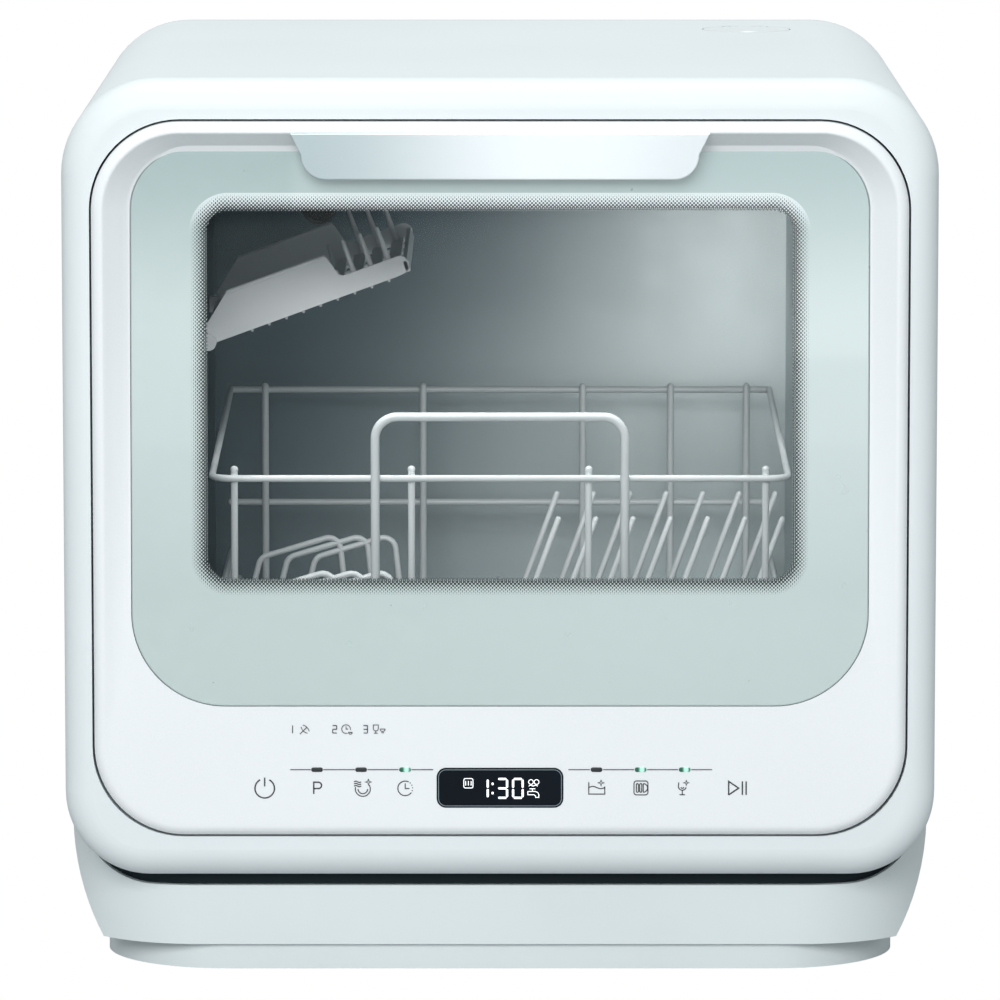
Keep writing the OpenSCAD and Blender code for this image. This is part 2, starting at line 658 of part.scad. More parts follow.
// Two steel lugs stand on the frame's sill and carry the door's pins.
module hinge_brackets() color("silver") for (s = [-1, 1]) translate([s * hinge_x - lug_w / 2, 0, 0])
    difference() {
        union() {
            bar([0, pivot_y, pivot_z], [lug_w, pivot_y, pivot_z], lug_r);
            block([0, pivot_y, pivot_z - 1.8], [lug_w, pivot_y + 15.3, pivot_z + 1.8]);
            block([0, pivot_y + 8.5, open_z], [lug_w, pivot_y + 15.3, pivot_z]);
        }
        bar([-1, pivot_y, pivot_z], [lug_w + 1, pivot_y, pivot_z], pin_r + run_fit);
    }

module latch_switch() color("#202020") difference() {
    block([-16, flange_y - 7, latch_z - 2], [16, flange_y, latch_z + 6]);
    block([-10, flange_y - 8, latch_z - 1.2], [10, flange_y - 2, latch_z + 4.5]);
}

module rear_screws() color("silver") for (p = screw_points) {
    bar([p[0], back_y - 8, p[1]], [p[0], back_y + 0.5, p[1]], screw_r);
    bar([p[0], back_y + 0.1, p[1]], [p[0], back_y + 2, p[1]], 4);
}

module door_shell() color("white") difference() {
    soft_plate(face_y, face_y + shell_t, door_z, door_w, door_h, door_r, door_r + corner_relief, rim_r);
    slab(face_y + 3, face_y + shell_t + 1) intersection() {
        translate([0, door_z + 11]) plate2d(door_w - 18, door_h - 20, door_r - 9, door_r - 9);
        translate([-door_w / 2, 0]) square([door_w, glass_z - 5]);
    }
    plate(face_y - 1, face_y + shell_t + 1, glass_z + 12, glass_w - 24, glass_h - 24, 20, 34);
    on_glass() slab(-30, glass_t + slack) plate2d(glass_w, glass_h, glass_tr, glass_br);
    on_glass() slab(-30, 0) translate([0, -1])
        plate2d(glass_w + 16, glass_h + 9.6, glass_tr + 8, glass_br + 6);
    slab(face_y - 1, face_y + 5) translate([0, disp_z]) plate2d(disp_w, disp_h, 4.5, 4.5);
    for (x = light_x) slab(face_y - 1, face_y + 5)
        translate([x, light_z]) square([light_w, light_h], center = true);
    for (s = [-1, 1]) translate([s * hinge_x, 0, 0]) {
        bar([-8, pivot_y, pivot_z], [8, pivot_y, pivot_z], pin_r);
        block([-lug_w / 2 - 0.5, pivot_y - lug_r - slack, door_z - 1],
              [lug_w / 2 + 0.5, face_y + shell_t + 1, pivot_z + lug_r + slack]);
    }
}

// Puts children on the tilted front of the glass, its lower edge at the origin.
module on_glass() translate([0, glass_y, glass_z]) rotate([-glass_tilt, 0, 0]) children();

module glass_panel() color("lightsteelblue")
    on_glass() slab(0, glass_t) translate([0, 0.3]) plate2d(glass_w - 0.6, glass_h - 0.6, glass_tr, glass_br);

module window_gasket() color("#303030")
    sweep(face_y + 25.8, win_z - 4, win_w + 8, win_h + 8, 20, 20) square([6, 5.6]);

module glass_inner() color("lightsteelblue")
    plate(face_y + 26, face_y + 29, win_z - 8, win_w + 16, win_h + 16, 20, 20);

module door_liner() color("silver") difference() {
    plate(face_y + shell_t + 0.1, liner_y, door_z + 9, door_w - 24, door_h - liner_cut, 34, 36);
    plate(face_y + shell_t, liner_y - 2, door_z + 11, door_w - 28, door_h - liner_cut - 4, 32, 34);
    plate(liner_y - 8, liner_y + 1, win_z, win_w, win_h, 16, 16);
    block([-30, liner_y - 8, door_z + 30], [30, liner_y + 1, door_z + 66]);
}

module pull_plate() color("silver") {
    slab(pull_y, pull_y + pull_t) translate([0, pull_z]) pull_shape();
    difference() {
        for (s = [-1, 1]) block([s * tab_x - 6, pull_y + pull_t - 0.2, pull_z + pull_h - 6],
                                [s * tab_x + 6, face_y + 16, pull_z + pull_h - 1]);
        on_glass() slab(0, 40) translate([0, -1]) square([pull_w, 2 * glass_h + 40], center = true);
    }
}

// Front view of the pull plate: a tray with a straight top and round lower corners.
module pull_shape() {
    foot = pull_w / 2 - pull_in;
    for (s = [-1, 1]) translate([s * (foot - pull_r), pull_r]) circle(pull_r);
    translate([-foot + pull_r, 0]) square([2 * (foot - pull_r), pull_r + 1]);
    polygon([[-pull_w / 2, pull_h], [pull_w / 2, pull_h], [foot, pull_r], [-foot, pull_r]]);
}

module display_window() color("black") 
    plate(face_y + 0.3, face_y + 9.5, disp_z + 0.2, disp_w - 0.4, disp_h - 0.4, 4.3, 4.3);

module control_board() color("darkgreen")
    block([-board_x, face_y + 9.5, key_z - 10.5], [board_x, face_y + 11, key_z + 31.5]);

module touch_springs() color("gold") for (x = key_x) difference() {
    bar([x, face_y + 3, key_z], [x, face_y + 9.5, key_z], 5);
    bar([x, face_y + 2, key_z], [x, face_y + 10, key_z], 4);
}

module light_guides() color("honeydew") for (x = light_x)
    block([x - light_w / 2 + 0.2, face_y + 0.2, light_z - light_h / 2 + 0.2],
          [x + light_w / 2 - 0.2, face_y + 9.5, light_z + light_h / 2 - 0.2]);

module latch_tongue() color("silver") block([-7, liner_y, latch_z], [7, liner_y + 4, latch_z + 3]);

module hinge_leaves() color("silver") for (s = [-1, 1])
    block([s * hinge_x - 8, face_y + shell_t + slack, door_z + 14],
          [s * hinge_x + 8, face_y + shell_t + 2, door_z + 60]);

module detergent_cup() color("gray") difference() {
    block([-29.5, liner_y - 14, door_z + 30.5], [29.5, liner_y, door_z + 65.5]);
    block([-27.5, liner_y - 12, door_z + 32.5], [-2, liner_y + 1, door_z + 63.5]);
    block([1, liner_y - 12, door_z + 32.5], [27.5, liner_y + 1, door_z + 63.5]);
}

module door_screws() color("silver")
    for (x = [-tub_w / 2 + 16, tub_w / 2 - 16], z = [door_z + 20, door_z + door_h - 27])
        bar([x, liner_y, z], [x, liner_y + 1.5, z], 3.5);

module rack_floor() color("lightgray") {
    for (k = [-3:3]) translate([k * (rack_x - 6) / 3, 0, 0])
        bar([0, rack_y + 6, rack_z], [0, rear_y - 2, rack_z], wire_r);
    for (y = cross_y) bar([-side_x + wire_r - 0.1, y, cross_z], [side_x - wire_r + 0.1, y, cross_z], rail_r);
}

module rack_front() color("lightgray") {
    for (z = [rail_z, rack_z + 26, cross_z])
        bar([-side_x + rail_r, rack_y + 4, z], [side_x - rail_r, rack_y + 4, z], rail_r);
    for (x = post_x) {
        bar([x, rack_y + 4, rack_z - 4], [x, rack_y + 4, rail_z + 3], wire_r);
        translate([x, rack_y + 4, rail_z + 3]) sphere(knob_r);
    }
}

module rack_rear() color("lightgray") {
    for (z = [rear_rail_z, rack_z + 40, cross_z])
        bar([-side_x + rail_r, rear_y, z], [side_x - rail_r, rear_y, z], rail_r);
    for (x = [-0.86, -0.28, 0.3, 0.624, 0.9]) translate([x * rack_x, rear_y, 0])
        bar([0, 0, rack_z - 3], [0, 0, rear_rail_z + 4], wire_r);
}

// Each side has a low fence and one rail that rises from the front rail to the rear rail.
module rack_sides() color("lightgray") for (s = [-1, 1]) translate([s * side_x, 0, 0]) {
    bar([0, rack_y + 2.6, rail_z], [0, rear_y + 1.4, rear_rail_z], rail_r);
    bar([0, rack_y + 2.6, fence_z], [0, rear_y + 1.4, fence_z], rail_r);
    for (y = cross_y) bar([0, y, rack_z - 4.5], [0, y, fence_z], wire_r);
}

module rack_grip() color("whitesmoke") {
    y = rack_y + 0.1;
    for (s = [-1, 1]) {
        bar([s * grip_x, y, rack_z + 23], [s * grip_x, y, grip_z - grip_bend], grip_r);
        bend([s * (grip_x - grip_bend), y, grip_z - grip_bend], grip_bend, grip_r, s > 0 ? 0 : 90);
    }
    bar([-grip_x + grip_bend, y, grip_z], [grip_x - grip_bend, y, grip_z], grip_r);
}

// A row of leaning tines on a foot wire that lies on the rack's floor.
module tine_row(y) {
    bar([tine_x - 6, y, tine_z], [tine_x + (tine_n - 1) * tine_pitch + 4, y, tine_z], wire_r);
    for (k = [0:tine_n - 1]) bar([tine_x + k * tine_pitch, y, tine_z],
        [tine_x + k * tine_pitch + tine_l * sin(tine_lean), y, tine_z + tine_l * cos(tine_lean)], wire_r);
}
module tines_front() color("lightgray") tine_row(cross_y[2] - 16);
module tines_rear() color("lightgray") tine_row(cross_y[4] - 6);

module cup_loops() color("lightgray") for (y = [cross_y[1], cross_y[4]], k = [0:2]) {
    x = loop_x + k * loop_pitch;
    wire([[x, y, cross_z + rail_r], [x + 6, y, rack_z + 24], [x + 46, y, rack_z + 36],
          [x + 50, y, cross_z + rail_r]], wire_r);
}

module rack_shoes() color("gray") for (s = [-1, 1], y = shoe_y) translate([s * (side_x + wire_r + 3), 0, 0])
    block([-3, y, guide_z + guide_h + slack], [3, y + 24, rack_z - 1]);

// Each wall bracket ends in a boss with a stub pin that enters the shelf's pivot bar.
module shelf_bracket() color("gainsboro") {
    for (y = [shelf_y - 6.5, shelf_y + shelf_d + 0.5]) {
        block([-tub_w / 2, y, shelf_z - 4], [shelf_x, y + 6, shelf_z + 4]);
        bar([shelf_x, y, shelf_z], [shelf_x, y + 6, shelf_z], 4);
    }
    for (y = [shelf_y - 1, shelf_y + shelf_d + 1 - stub_l])
        bar([shelf_x, y, shelf_z], [shelf_x, y + stub_l, shelf_z], stub_r);
}

// Side wall of the shelf, high at the wall and low at the tip. Its rear edge leans forwards,
// so that it clears the chamber's wall as the shelf folds up.
module shelf_cheek() polygon([[2, 0], [shelf_l, 0], [shelf_l, lip_h], [shelf_l - 38, lip_h],
                              [shelf_l - 38, cheek_h], [cheek_h - 3, cheek_h], [2, lip_h]]);

module cup_shelf() color("white") translate([shelf_x, shelf_y, shelf_z]) rotate([0, -shelf_tilt, 0]) difference() {
    union() {
        bar([0, 0, 0], [0, shelf_d, 0], 3);
        block([0, 0, -1.5], [shelf_l, shelf_d, 1]);
        for (y = [0, shelf_d - 2]) slab(y, y + 2) shelf_cheek();
        block([shelf_l - 2, 0, 0], [shelf_l, shelf_d, lip_h]);
        for (x = [28:-10:8], y = [6, shelf_d - 8])
            bar([shelf_l - x, y, 0], [shelf_l - x, y, prong_h], 1.8);
    }
    for (y = [-1, shelf_d - stub_l]) bar([0, y, 0], [0, y + stub_l + 1, 0], stub_r + run_fit);
}

outer_wrap();
front_frame();
rear_panel();
cradle_base();
dark_band();
rubber_feet();
tub();
tub_flange();
tub_gasket();
sump();
filter_plate();
filter_mesh();
spray_spindle();
spray_arm();
wash_pump();
drain_pump();
heater();
water_tank();
filler_neck();
filler_lid();
lid_pin();
inlet_valve();
level_switch();
drying_fan();
main_board();
cord_gland();
inlet_connector();
drain_spigot();
rack_rails();
hinge_pins();
hinge_brackets();
latch_switch();
door_shell();
glass_panel();
glass_inner();
door_liner();
window_gasket();
pull_plate();
display_window();
control_board();
touch_springs();
light_guides();
latch_tongue();
hinge_leaves();
detergent_cup();
rack_floor();
rack_front();
rack_rear();
rack_sides();
rack_grip();
tines_front();
tines_rear();
cup_loops();
rack_shoes();
shelf_bracket();
cup_shelf();
pump_pipes();
rear_screws();
door_screws();
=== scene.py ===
"""Looks of the countertop dishwasher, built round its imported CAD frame.

The frame is in metres, X to the right, Y to the back, Z up, with the origin on the ground.
Sizes in the sections are in millimetres; the mesh makers turn them into metres.
"""

import math

import bpy
import numpy as np
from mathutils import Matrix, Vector


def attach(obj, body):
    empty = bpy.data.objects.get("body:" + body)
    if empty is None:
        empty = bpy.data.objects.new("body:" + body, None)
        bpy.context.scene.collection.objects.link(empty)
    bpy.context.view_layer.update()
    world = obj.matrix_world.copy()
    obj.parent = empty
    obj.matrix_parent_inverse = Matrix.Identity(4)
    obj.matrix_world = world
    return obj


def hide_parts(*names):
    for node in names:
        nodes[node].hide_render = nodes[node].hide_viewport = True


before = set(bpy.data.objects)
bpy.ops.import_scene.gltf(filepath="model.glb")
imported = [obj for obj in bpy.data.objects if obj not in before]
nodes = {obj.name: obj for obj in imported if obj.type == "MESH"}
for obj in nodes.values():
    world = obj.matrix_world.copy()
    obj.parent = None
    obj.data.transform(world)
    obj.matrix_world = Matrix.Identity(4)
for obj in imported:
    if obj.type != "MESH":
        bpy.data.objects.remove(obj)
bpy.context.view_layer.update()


# ---------------------------------------------------------------- cradle base
# The base is one moulding of satin white ABS, bulging at its sides, with a plain foot ring.
# Four rubber feet are pressed into the ring, and the moulding is screwed to the cabinet floor.
class Wire:
    """A shader socket that can be calculated with: each operator adds one Math node."""

    def __init__(self, tree, socket):
        self.tree, self.socket = tree, socket

    def feed(self, plug, value):
        """Link a wire to a node's input, or write a plain value into it."""
        if isinstance(value, Wire):
            self.tree.links.new(value.socket, plug)
        elif value is not None:
            plug.default_value = value

    def node(self, kind, fed=(), out=0, **settings):
        """Any other node: its settings, its inputs fed by name or number, and one output."""
        made = self.tree.nodes.new("ShaderNode" + kind)
        for key, value in settings.items():
            setattr(made, key, value)
        for key, value in dict(fed).items():
            self.feed(made.inputs[key], value)
        return Wire(self.tree, made.outputs[out])

    def math(self, how, *values):
        return self.node("Math", enumerate(values), operation=how)

    def __add__(self, other):
        return self.math("ADD", self, other)

    def __radd__(self, other):
        return self.math("ADD", other, self)

    def __sub__(self, other):
        return self.math("SUBTRACT", self, other)

    def __rsub__(self, other):
        return self.math("SUBTRACT", other, self)

    def __mul__(self, other):
        return self.math("MULTIPLY", self, other)

    def __rmul__(self, other):
        return self.math("MULTIPLY", other, self)

    def __truediv__(self, other):
        return self.math("DIVIDE", self, other)

    def __rtruediv__(self, other):
        return self.math("DIVIDE", other, self)

    def __gt__(self, other):
        return self.math("GREATER_THAN", self, other)

    def __lt__(self, other):
        return self.math("LESS_THAN", self, other)

    def __abs__(self):
        return self.math("ABSOLUTE", self)

    def most(self, other):
        """The larger of the two."""
        return self.math("MAXIMUM", self, other)

    def least(self, other):
        """The smaller of the two."""
        return self.math("MINIMUM", self, other)

    def clamped(self):
        """Held between 0 and 1."""
        return self.most(0).least(1)

    def modulo(self, other):
        return self.math("MODULO", self, other)

    def root(self):
        return self.math("SQRT", self)

    def whole(self):
        return self.math("FLOOR", self)

    def fraction(self):
        return self.math("FRACT", self)

    def step(self, low, high):
        """0 below low, 1 above high, and a smooth rise between them."""
        return self.node(
            "MapRange", {0: self, 1: low, 2: high}, interpolation_type="SMOOTHSTEP"
        )


class Finish:
    """A node material on Object coordinates, its Principled shader waiting for wires."""

    def __init__(self, name, **constants):
        self.material = bpy.data.materials.new(name)
        self.material.use_nodes = True
        tree = self.material.node_tree
        self.shader = tree.nodes["Principled BSDF"]
        self.place = Wire(tree, tree.nodes.new("ShaderNodeTexCoord").outputs["Object"])
        split = tree.nodes.new("ShaderNodeSeparateXYZ")
        tree.links.new(self.place.socket, split.inputs[0])
        self.x, self.y, self.z = (Wire(tree, out) for out in split.outputs)
        for socket, value in constants.items():
            self.set(socket.replace("_", " "), value)

    def set(self, socket, value):
        """Feed one input of the shader, and hand the finish back for the next call."""
        self.place.feed(self.shader.inputs[socket], value)
        return self

    def noise(self, scale, detail=2.0, stretch=(1, 1, 1), rough=0.5):
        """Noise between 0 and 1, `scale` features a metre, drawn out by `stretch`."""
        spot = self.place.node(
            "VectorMath", {0: self.place, 1: stretch}, operation="MULTIPLY"
        )
        fed = {"Vector": spot, "Scale": scale, "Detail": detail, "Roughness": rough}
        return self.place.node("TexNoise", fed)

    def cells(self, scale, feature="F1"):
        """Distance to the nearest of the points scattered `scale` to the metre."""
        fed = {"Vector": self.place, "Scale": scale}
        return self.place.node("TexVoronoi", fed, feature=feature)

    def mix(self, share, first, second):
        """The first colour where share is 0, the second where it is 1."""
        first, second = (c if isinstance(c, Wire) else (*c, 1) for c in (first, second))
        fed = {0: share, 6: first, 7: second}
        return self.place.node("Mix", fed, 2, data_type="RGBA")

    def tint(self, colour, share, depth):
        """A colour that darkens by `depth` of itself where share is 1."""
        return self.mix(share, colour, tuple(c * (1 - depth) for c in colour))

    def bump(self, height, distance):
        """Raise the surface by `distance` metres where height is 1."""
        fed = {"Distance": distance, "Height": height}
        return self.set("Normal", self.place.node("Bump", fed))

    def give(self, *names):
        """Put the finish on every slot of the named CAD nodes or of the given pieces."""
        for name in names:
            piece = nodes[name] if isinstance(name, str) else name
            if not piece.material_slots:
                piece.data.materials.append(self.material)
            for place in piece.material_slots:
                place.material = self.material
        return self


def moulded(name, colour, rough, grain=2600.0, coat=0.0, soil=0.05):
    """Moulded plastic: a fine spark-eroded grain, faint flow shades and a soft gloss."""
    finish = Finish(name, Coat_Weight=coat, Coat_Roughness=0.12)
    flow = finish.noise(7, 3)
    speck = finish.noise(grain, 1)
    finish.set("Base Color", finish.tint(colour, flow.step(0.35, 0.75), soil))
    finish.set("Roughness", rough + 0.08 * speck + 0.05 * flow)
    return finish.bump(speck, 0.00003)


base_white = moulded("satin_white_abs", (0.73, 0.79, 0.80), 0.34, coat=0.15)
base_white.give("cradle_base")


def rubbery(name, colour, grain=900.0):
    """Soft rubber: matt, its skin crossed by small pits and dulled in patches."""
    finish = Finish(name)
    patch, pit = finish.noise(60, 3), finish.noise(grain, 2)
    finish.set("Base Color", finish.tint(colour, patch, 0.35))
    finish.set("Roughness", 0.62 + 0.25 * patch)
    return finish.bump(pit, 0.00012)


rubbery("foot_rubber", (0.028, 0.028, 0.03)).give("rubber_feet")

# ---------------------------------------------------------------- dark band
# A recessed strip of navy-grey plastic closes the gap between the cradle and the cabinet;
# its near-black colour is partly painted shade, standing for the shadow in the gap.
band_and_gap_shade = moulded("navy_trim_and_gap_shade", (0.016, 0.025, 0.031), 0.45, soil=0.2)
band_and_gap_shade.set("Specular IOR Level", 0.08)
band_and_gap_shade.give("dark_band")

# ---------------------------------------------------------------- cabinet
# The wrap is one painted steel sheet bent round the top and sides; the rear panel is a coated
# sheet with vents. The front frame is a thick satin moulding with a full round edge.
paint = Finish("wrap_paint", Coat_Weight=0.25, Coat_Roughness=0.1)
peel, drift = paint.noise(620, 2), paint.noise(5, 2)
paint.set("Base Color", paint.tint((0.77, 0.81, 0.82), drift.step(0.3, 0.8), 0.05))
paint.set("Roughness", 0.3 + 0.1 * peel).bump(peel, 0.00006)
paint.give("outer_wrap")

frame_white = moulded("glossy_white_abs", (0.765, 0.815, 0.83), 0.46, 3400, 0.04, 0.03)
frame_white.give("front_frame")

rear_paint = moulded("rear_coating", (0.55, 0.57, 0.58), 0.45, 1500, soil=0.1)
rear_paint.give("rear_panel")


def metal(name, colour, rough, stretch=(1, 30, 30), scale=90.0, worn=0.12):
    """Metal with drawn or rolled streaks along the axis that `stretch` leaves long."""
    finish = Finish(name, Metallic=1.0)
    streak = finish.noise(scale, 4, stretch, 0.7)
    cloud = finish.noise(14, 3)
    finish.set("Base Color", finish.tint(colour, cloud, worn))
    finish.set("Roughness", rough + 0.16 * streak + 0.06 * cloud)
    return finish.bump(streak, 0.00004)


bright = metal("bright_zinc", (0.72, 0.72, 0.73), 0.2)
bright.give("rear_screws", "door_screws", "hinge_pins", "hinge_brackets", "hinge_leaves")
bright.give("lid_pin", "latch_tongue", "heater")

# ---------------------------------------------------------------- wash chamber
# Deep-drawn stainless steel, satin inside; the flange carries a grey bulb gasket. The steel
# mirrors the dark side of the room, which is painted in as a shade that runs up to its upper
# left, and its foot carries a little painted shade for the rack's shadow.
chamber = Finish("satin_steel", Metallic=1.0)
brushed = chamber.noise(160, 5, (6, 1, 30), 0.75)
water = chamber.cells(55, "SMOOTH_F1")
steel = chamber.mix(brushed.step(0.2, 0.8), (0.80, 0.88, 0.88), (0.88, 0.95, 0.95))
SHADE_SLANT, SHADE_OFFSET = 0.6, 0.17
# A painted shade darkens the steel towards its upper left, and a painted rack shadow its foot.
out_of_shade = (chamber.x - SHADE_SLANT * chamber.z + SHADE_OFFSET).step(-0.12, 0.16)
painted_rack_shadow = chamber.z.step(0.31, 0.18)
steel = chamber.mix(0.5 * painted_rack_shadow, steel, (0.34, 0.40, 0.42))
steel = chamber.mix(out_of_shade, (0.07, 0.12, 0.15), steel)
chamber.set("Base Color", steel)
chamber.set("Roughness", 0.3 + 0.18 * brushed + 0.06 * water).bump(brushed, 0.00005)
chamber.give("tub")
liner = metal("liner_steel", (0.50, 0.56, 0.58), 0.28, (6, 1, 30), 160, 0.08)
liner.give("tub_flange", "door_liner")
metal("filter_steel", (0.6, 0.61, 0.62), 0.3, (1, 1, 1), 300).give("filter_plate")
rubbery("seal_rubber", (0.06, 0.065, 0.07)).give("tub_gasket", "window_gasket")

# ---------------------------------------------------------------- machinery
# Pumps, valve, fan and boards are bought-in units; the tank and its neck are milky polythene.
dark = moulded("dark_polypropylene", (0.035, 0.037, 0.04), 0.42, 1200, soil=0.25)
dark.give("sump", "wash_pump", "drain_pump", "drying_fan", "latch_switch", "cord_gland")
dark.give("spray_spindle", "drain_spigot", "level_switch")
grey = moulded("grey_polypropylene", (0.30, 0.32, 0.33), 0.4, 1400, soil=0.15)
grey.give("rack_rails", "rack_shoes", "detergent_cup", "pump_pipes", "inlet_connector")
white = moulded("white_polypropylene", (0.76, 0.79, 0.80), 0.33, 1600, 0.1)
white.give("inlet_valve", "filler_lid", "filter_mesh", "shelf_bracket")
milky = moulded("milky_polythene", (0.68, 0.74, 0.76), 0.36, 700)
milky.set("Subsurface Weight", 0.25).set("Subsurface Scale", 0.004)
milky.give("water_tank", "filler_neck")
arm_grey = moulded("spray_arm_plastic", (0.065, 0.075, 0.085), 0.3, 1500, soil=0.2)
arm_grey.give("spray_arm")

board = Finish("circuit_board", Roughness=0.35)
slant = board.x * 900 + board.z * 420
track = slant.math("PINGPONG", slant, 1.0).step(0.4, 0.6)
pad = board.cells(240).step(0.12, 0.2)
lacquer = board.mix(track, (0.01, 0.09, 0.03), (0.02, 0.16, 0.06))
board.set("Base Color", board.mix(pad, (0.55, 0.42, 0.16), lacquer))
board.bump(track, 0.00005).give("main_board", "control_board")
metal("spring_brass", (0.78, 0.58, 0.25), 0.22).give("touch_springs")


# ---------------------------------------------------------------- door shell
# A white moulding, 20 mm deep: a rounded rim, then a face that slopes in to the leaning glass.
# The slope is deepest at the top and runs out in the flat control panel at the foot.
FACE = -216.0  # Y of the flat control panel
GLASS_FOOT = (-215.2, 133.9)  # Y and Z of the leaning glass's lower edge
LEAN = math.tan(math.radians(2.5))


def piece(name, parts, finish, body, stands_for, takes, flat=False):
    """One mesh object from (points, faces) parts in millimetres, riding on a CAD body.

    It stands for the named CAD nodes; takes, the name of a material slot, is not used. Flat is
    for print and other strokes of no thickness, which aren't smoothed.
    """
    points, faces = [], []
    for spots, polygons in parts:
        start = sum(len(p) for p in points)
        points.append(np.asarray(spots, float))
        faces += [[start + i for i in f] for f in polygons]
    mesh = bpy.data.meshes.new(name)
    mesh.from_pydata((np.concatenate(points) * 0.001).tolist(), [], faces)
    mesh.update()
    made = bpy.data.objects.new(name, mesh)
    bpy.context.collection.objects.link(made)
    if not flat:
        mesh.shade_smooth()
        mesh.set_sharp_from_angle(angle=math.radians(32))
    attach(made, body)
    if stands_for:
        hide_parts(*stands_for)
    finish.give(made)
    return made


def rounded(w, h, rt, rb, z, inset=0.0, n=20):
    """Rounded rectangle seen from the front, drawn in by inset, as X and Z of its points.

    Four quarter arcs of n + 1 points each, anticlockwise from the right side; the upper
    corners have radius rt and the lower ones rb, and each straight side gets 7 more points.
    """
    w, h, rt, rb, z = w - 2 * inset, h - 2 * inset, rt - inset, rb - inset, z + inset
    corners = ((w / 2 - rt, z + h - rt, rt, 0), (-w / 2 + rt, z + h - rt, rt, 90))
    corners += ((-w / 2 + rb, z + rb, rb, 180), (w / 2 - rb, z + rb, rb, 270))
    arcs = []
    for cx, cz, r, start in corners:
        a = np.radians(start + np.linspace(0, 90, n + 1))
        arcs.append(np.column_stack([cx + r * np.cos(a), cz + r * np.sin(a)]))
    line = []
    for here, after in zip(arcs, arcs[1:] + arcs[:1]):
        line += [here, here[-1] + np.linspace(0, 1, 9)[1:-1, None] * (after[0] - here[-1])]
    return np.concatenate(line)


def loft(rings, closed=False, caps=False):
    """Quads between rings, each an outline (X, Z) and its depth Y, a number or one a point.

    Closed joins the last ring to the first; caps fills both ends with one polygon each.
    """
    n = len(rings[0][0])
    spots = [
        np.column_stack([line[:, 0], np.broadcast_to(depth, n), line[:, 1]])
        for line, depth in rings
    ]
    around = np.arange(n)
    after = (around + 1) % n
    faces = []
    for k in range(len(rings) if closed else len(rings) - 1):
        a, b = k * n, (k + 1) % len(rings) * n
        faces += np.column_stack([a + around, b + around, b + after, a + after]).tolist()
    if caps:
        faces += [around[::-1].tolist(), ((len(rings) - 1) * n + around).tolist()]
    return np.concatenate(spots), faces


def glass_plane(line, behind=0.0):
    """Depth of the leaning glass front at an outline's heights, plus a distance behind it."""
    return GLASS_FOOT[0] + (line[:, 1] - GLASS_FOOT[1]) * LEAN + behind


# Outlines as width, height, upper and lower corner radius, and Z of the lower edge.
DOOR = (390.4, 344.5, 42.5, 43.5, 70.9)
GLASS = (354, 268, 29, 45, 133.9)
RIM, SHELL_DEEP = 5.0, 20
rings = [(rounded(*DOOR), FACE + SHELL_DEEP)]
for turn in np.radians(np.linspace(0, 90, 11)):
    line = rounded(*DOOR, inset=RIM * (1 - math.cos(turn)))
    rings.append((line, FACE + RIM * (1 - math.sin(turn))))

# The slope from the rim to the glass: the share of the way along, and of the depth sunk.
SLOPE = ((0.03, 0.008), (0.07, 0.035), (0.12, 0.09), (0.3, 0.29), (0.5, 0.5))
SLOPE += ((0.7, 0.71), (0.88, 0.915), (0.95, 0.975), (1.0, 1.0))
rim_line, glass_line = rounded(*DOOR, inset=RIM), rounded(*GLASS)
for along, sunk in SLOPE:
    line = rim_line + along * (glass_line - rim_line)
    rings.append((line, FACE + sunk * (glass_plane(glass_line, -0.25) - FACE)))

RECESS, LEDGE_WIDE, WALL = 4.3, 12, 3.5
ledge = rounded(*GLASS, inset=LEDGE_WIDE)
rings += [
    (glass_line, glass_plane(glass_line, RECESS)),
    (ledge, glass_plane(ledge, RECESS)),
    (ledge, glass_plane(ledge, 7)),
    (rounded(*DOOR, inset=8), FACE + 8),
    (rounded(*DOOR, inset=WALL), FACE + SHELL_DEEP),
]
door_white = moulded("door_white_abs", (0.85, 0.875, 0.895), 0.2, 3400, 0.4, 0.02)
shell = [loft(rings, closed=True)]
piece("door_face", shell, door_white, "door", ["door_shell"], "frame_white")

# ---------------------------------------------------------------- glass
# Toughened glass, printed from behind in silver grey up to a soft edge of dots round the
# clear window. It lies in the shell's recess on a bead of adhesive.
printed = Finish("printed_glass", Coat_Weight=1.0, Coat_Roughness=0.02)

# The clear window in metres: half its width, its foot and head, and its corner radius.
HALF_CLEAR, CLEAR_FOOT, CLEAR_HEAD, CLEAR_CORNER = 0.140, 0.1956, 0.372, 0.010
middle = (CLEAR_FOOT + CLEAR_HEAD) / 2
reach_x = abs(printed.x) - (HALF_CLEAR - CLEAR_CORNER)
reach_z = abs(printed.z - middle) - ((CLEAR_HEAD - CLEAR_FOOT) / 2 - CLEAR_CORNER)
corner = (reach_x.most(0) * reach_x.most(0) + reach_z.most(0) * reach_z.most(0)).root()
edge = corner + reach_x.most(reach_z).least(0) - CLEAR_CORNER  # distance outside the window

# Rows of dots lie half a pitch apart, and every second row is moved on by half a pitch.
PITCH = 0.0018
row = printed.z / (PITCH * 0.5)
place = printed.x / PITCH + row.whole().modulo(2.0) * 0.5
cell_x, cell_z = place.fraction() - 0.5, (row.fraction() - 0.5) * 0.5
spot = (cell_x * cell_x + cell_z * cell_z).root()

# The silver dots grow outwards until they close, and the black print behind them closes
# sooner. Dot sizes are shares of the pitch.
FRIT, BLACK_EDGE = 0.0086, 0.003
dots = (spot - (0.09 + 0.46 * (edge / FRIT).clamped())) < 0
solid = (edge - FRIT) > 0
ink = dots.most(solid) * (edge > 0)
ground = ((spot - (0.15 + 0.55 * (edge / BLACK_EDGE).clamped())) < 0) * (edge > 0)
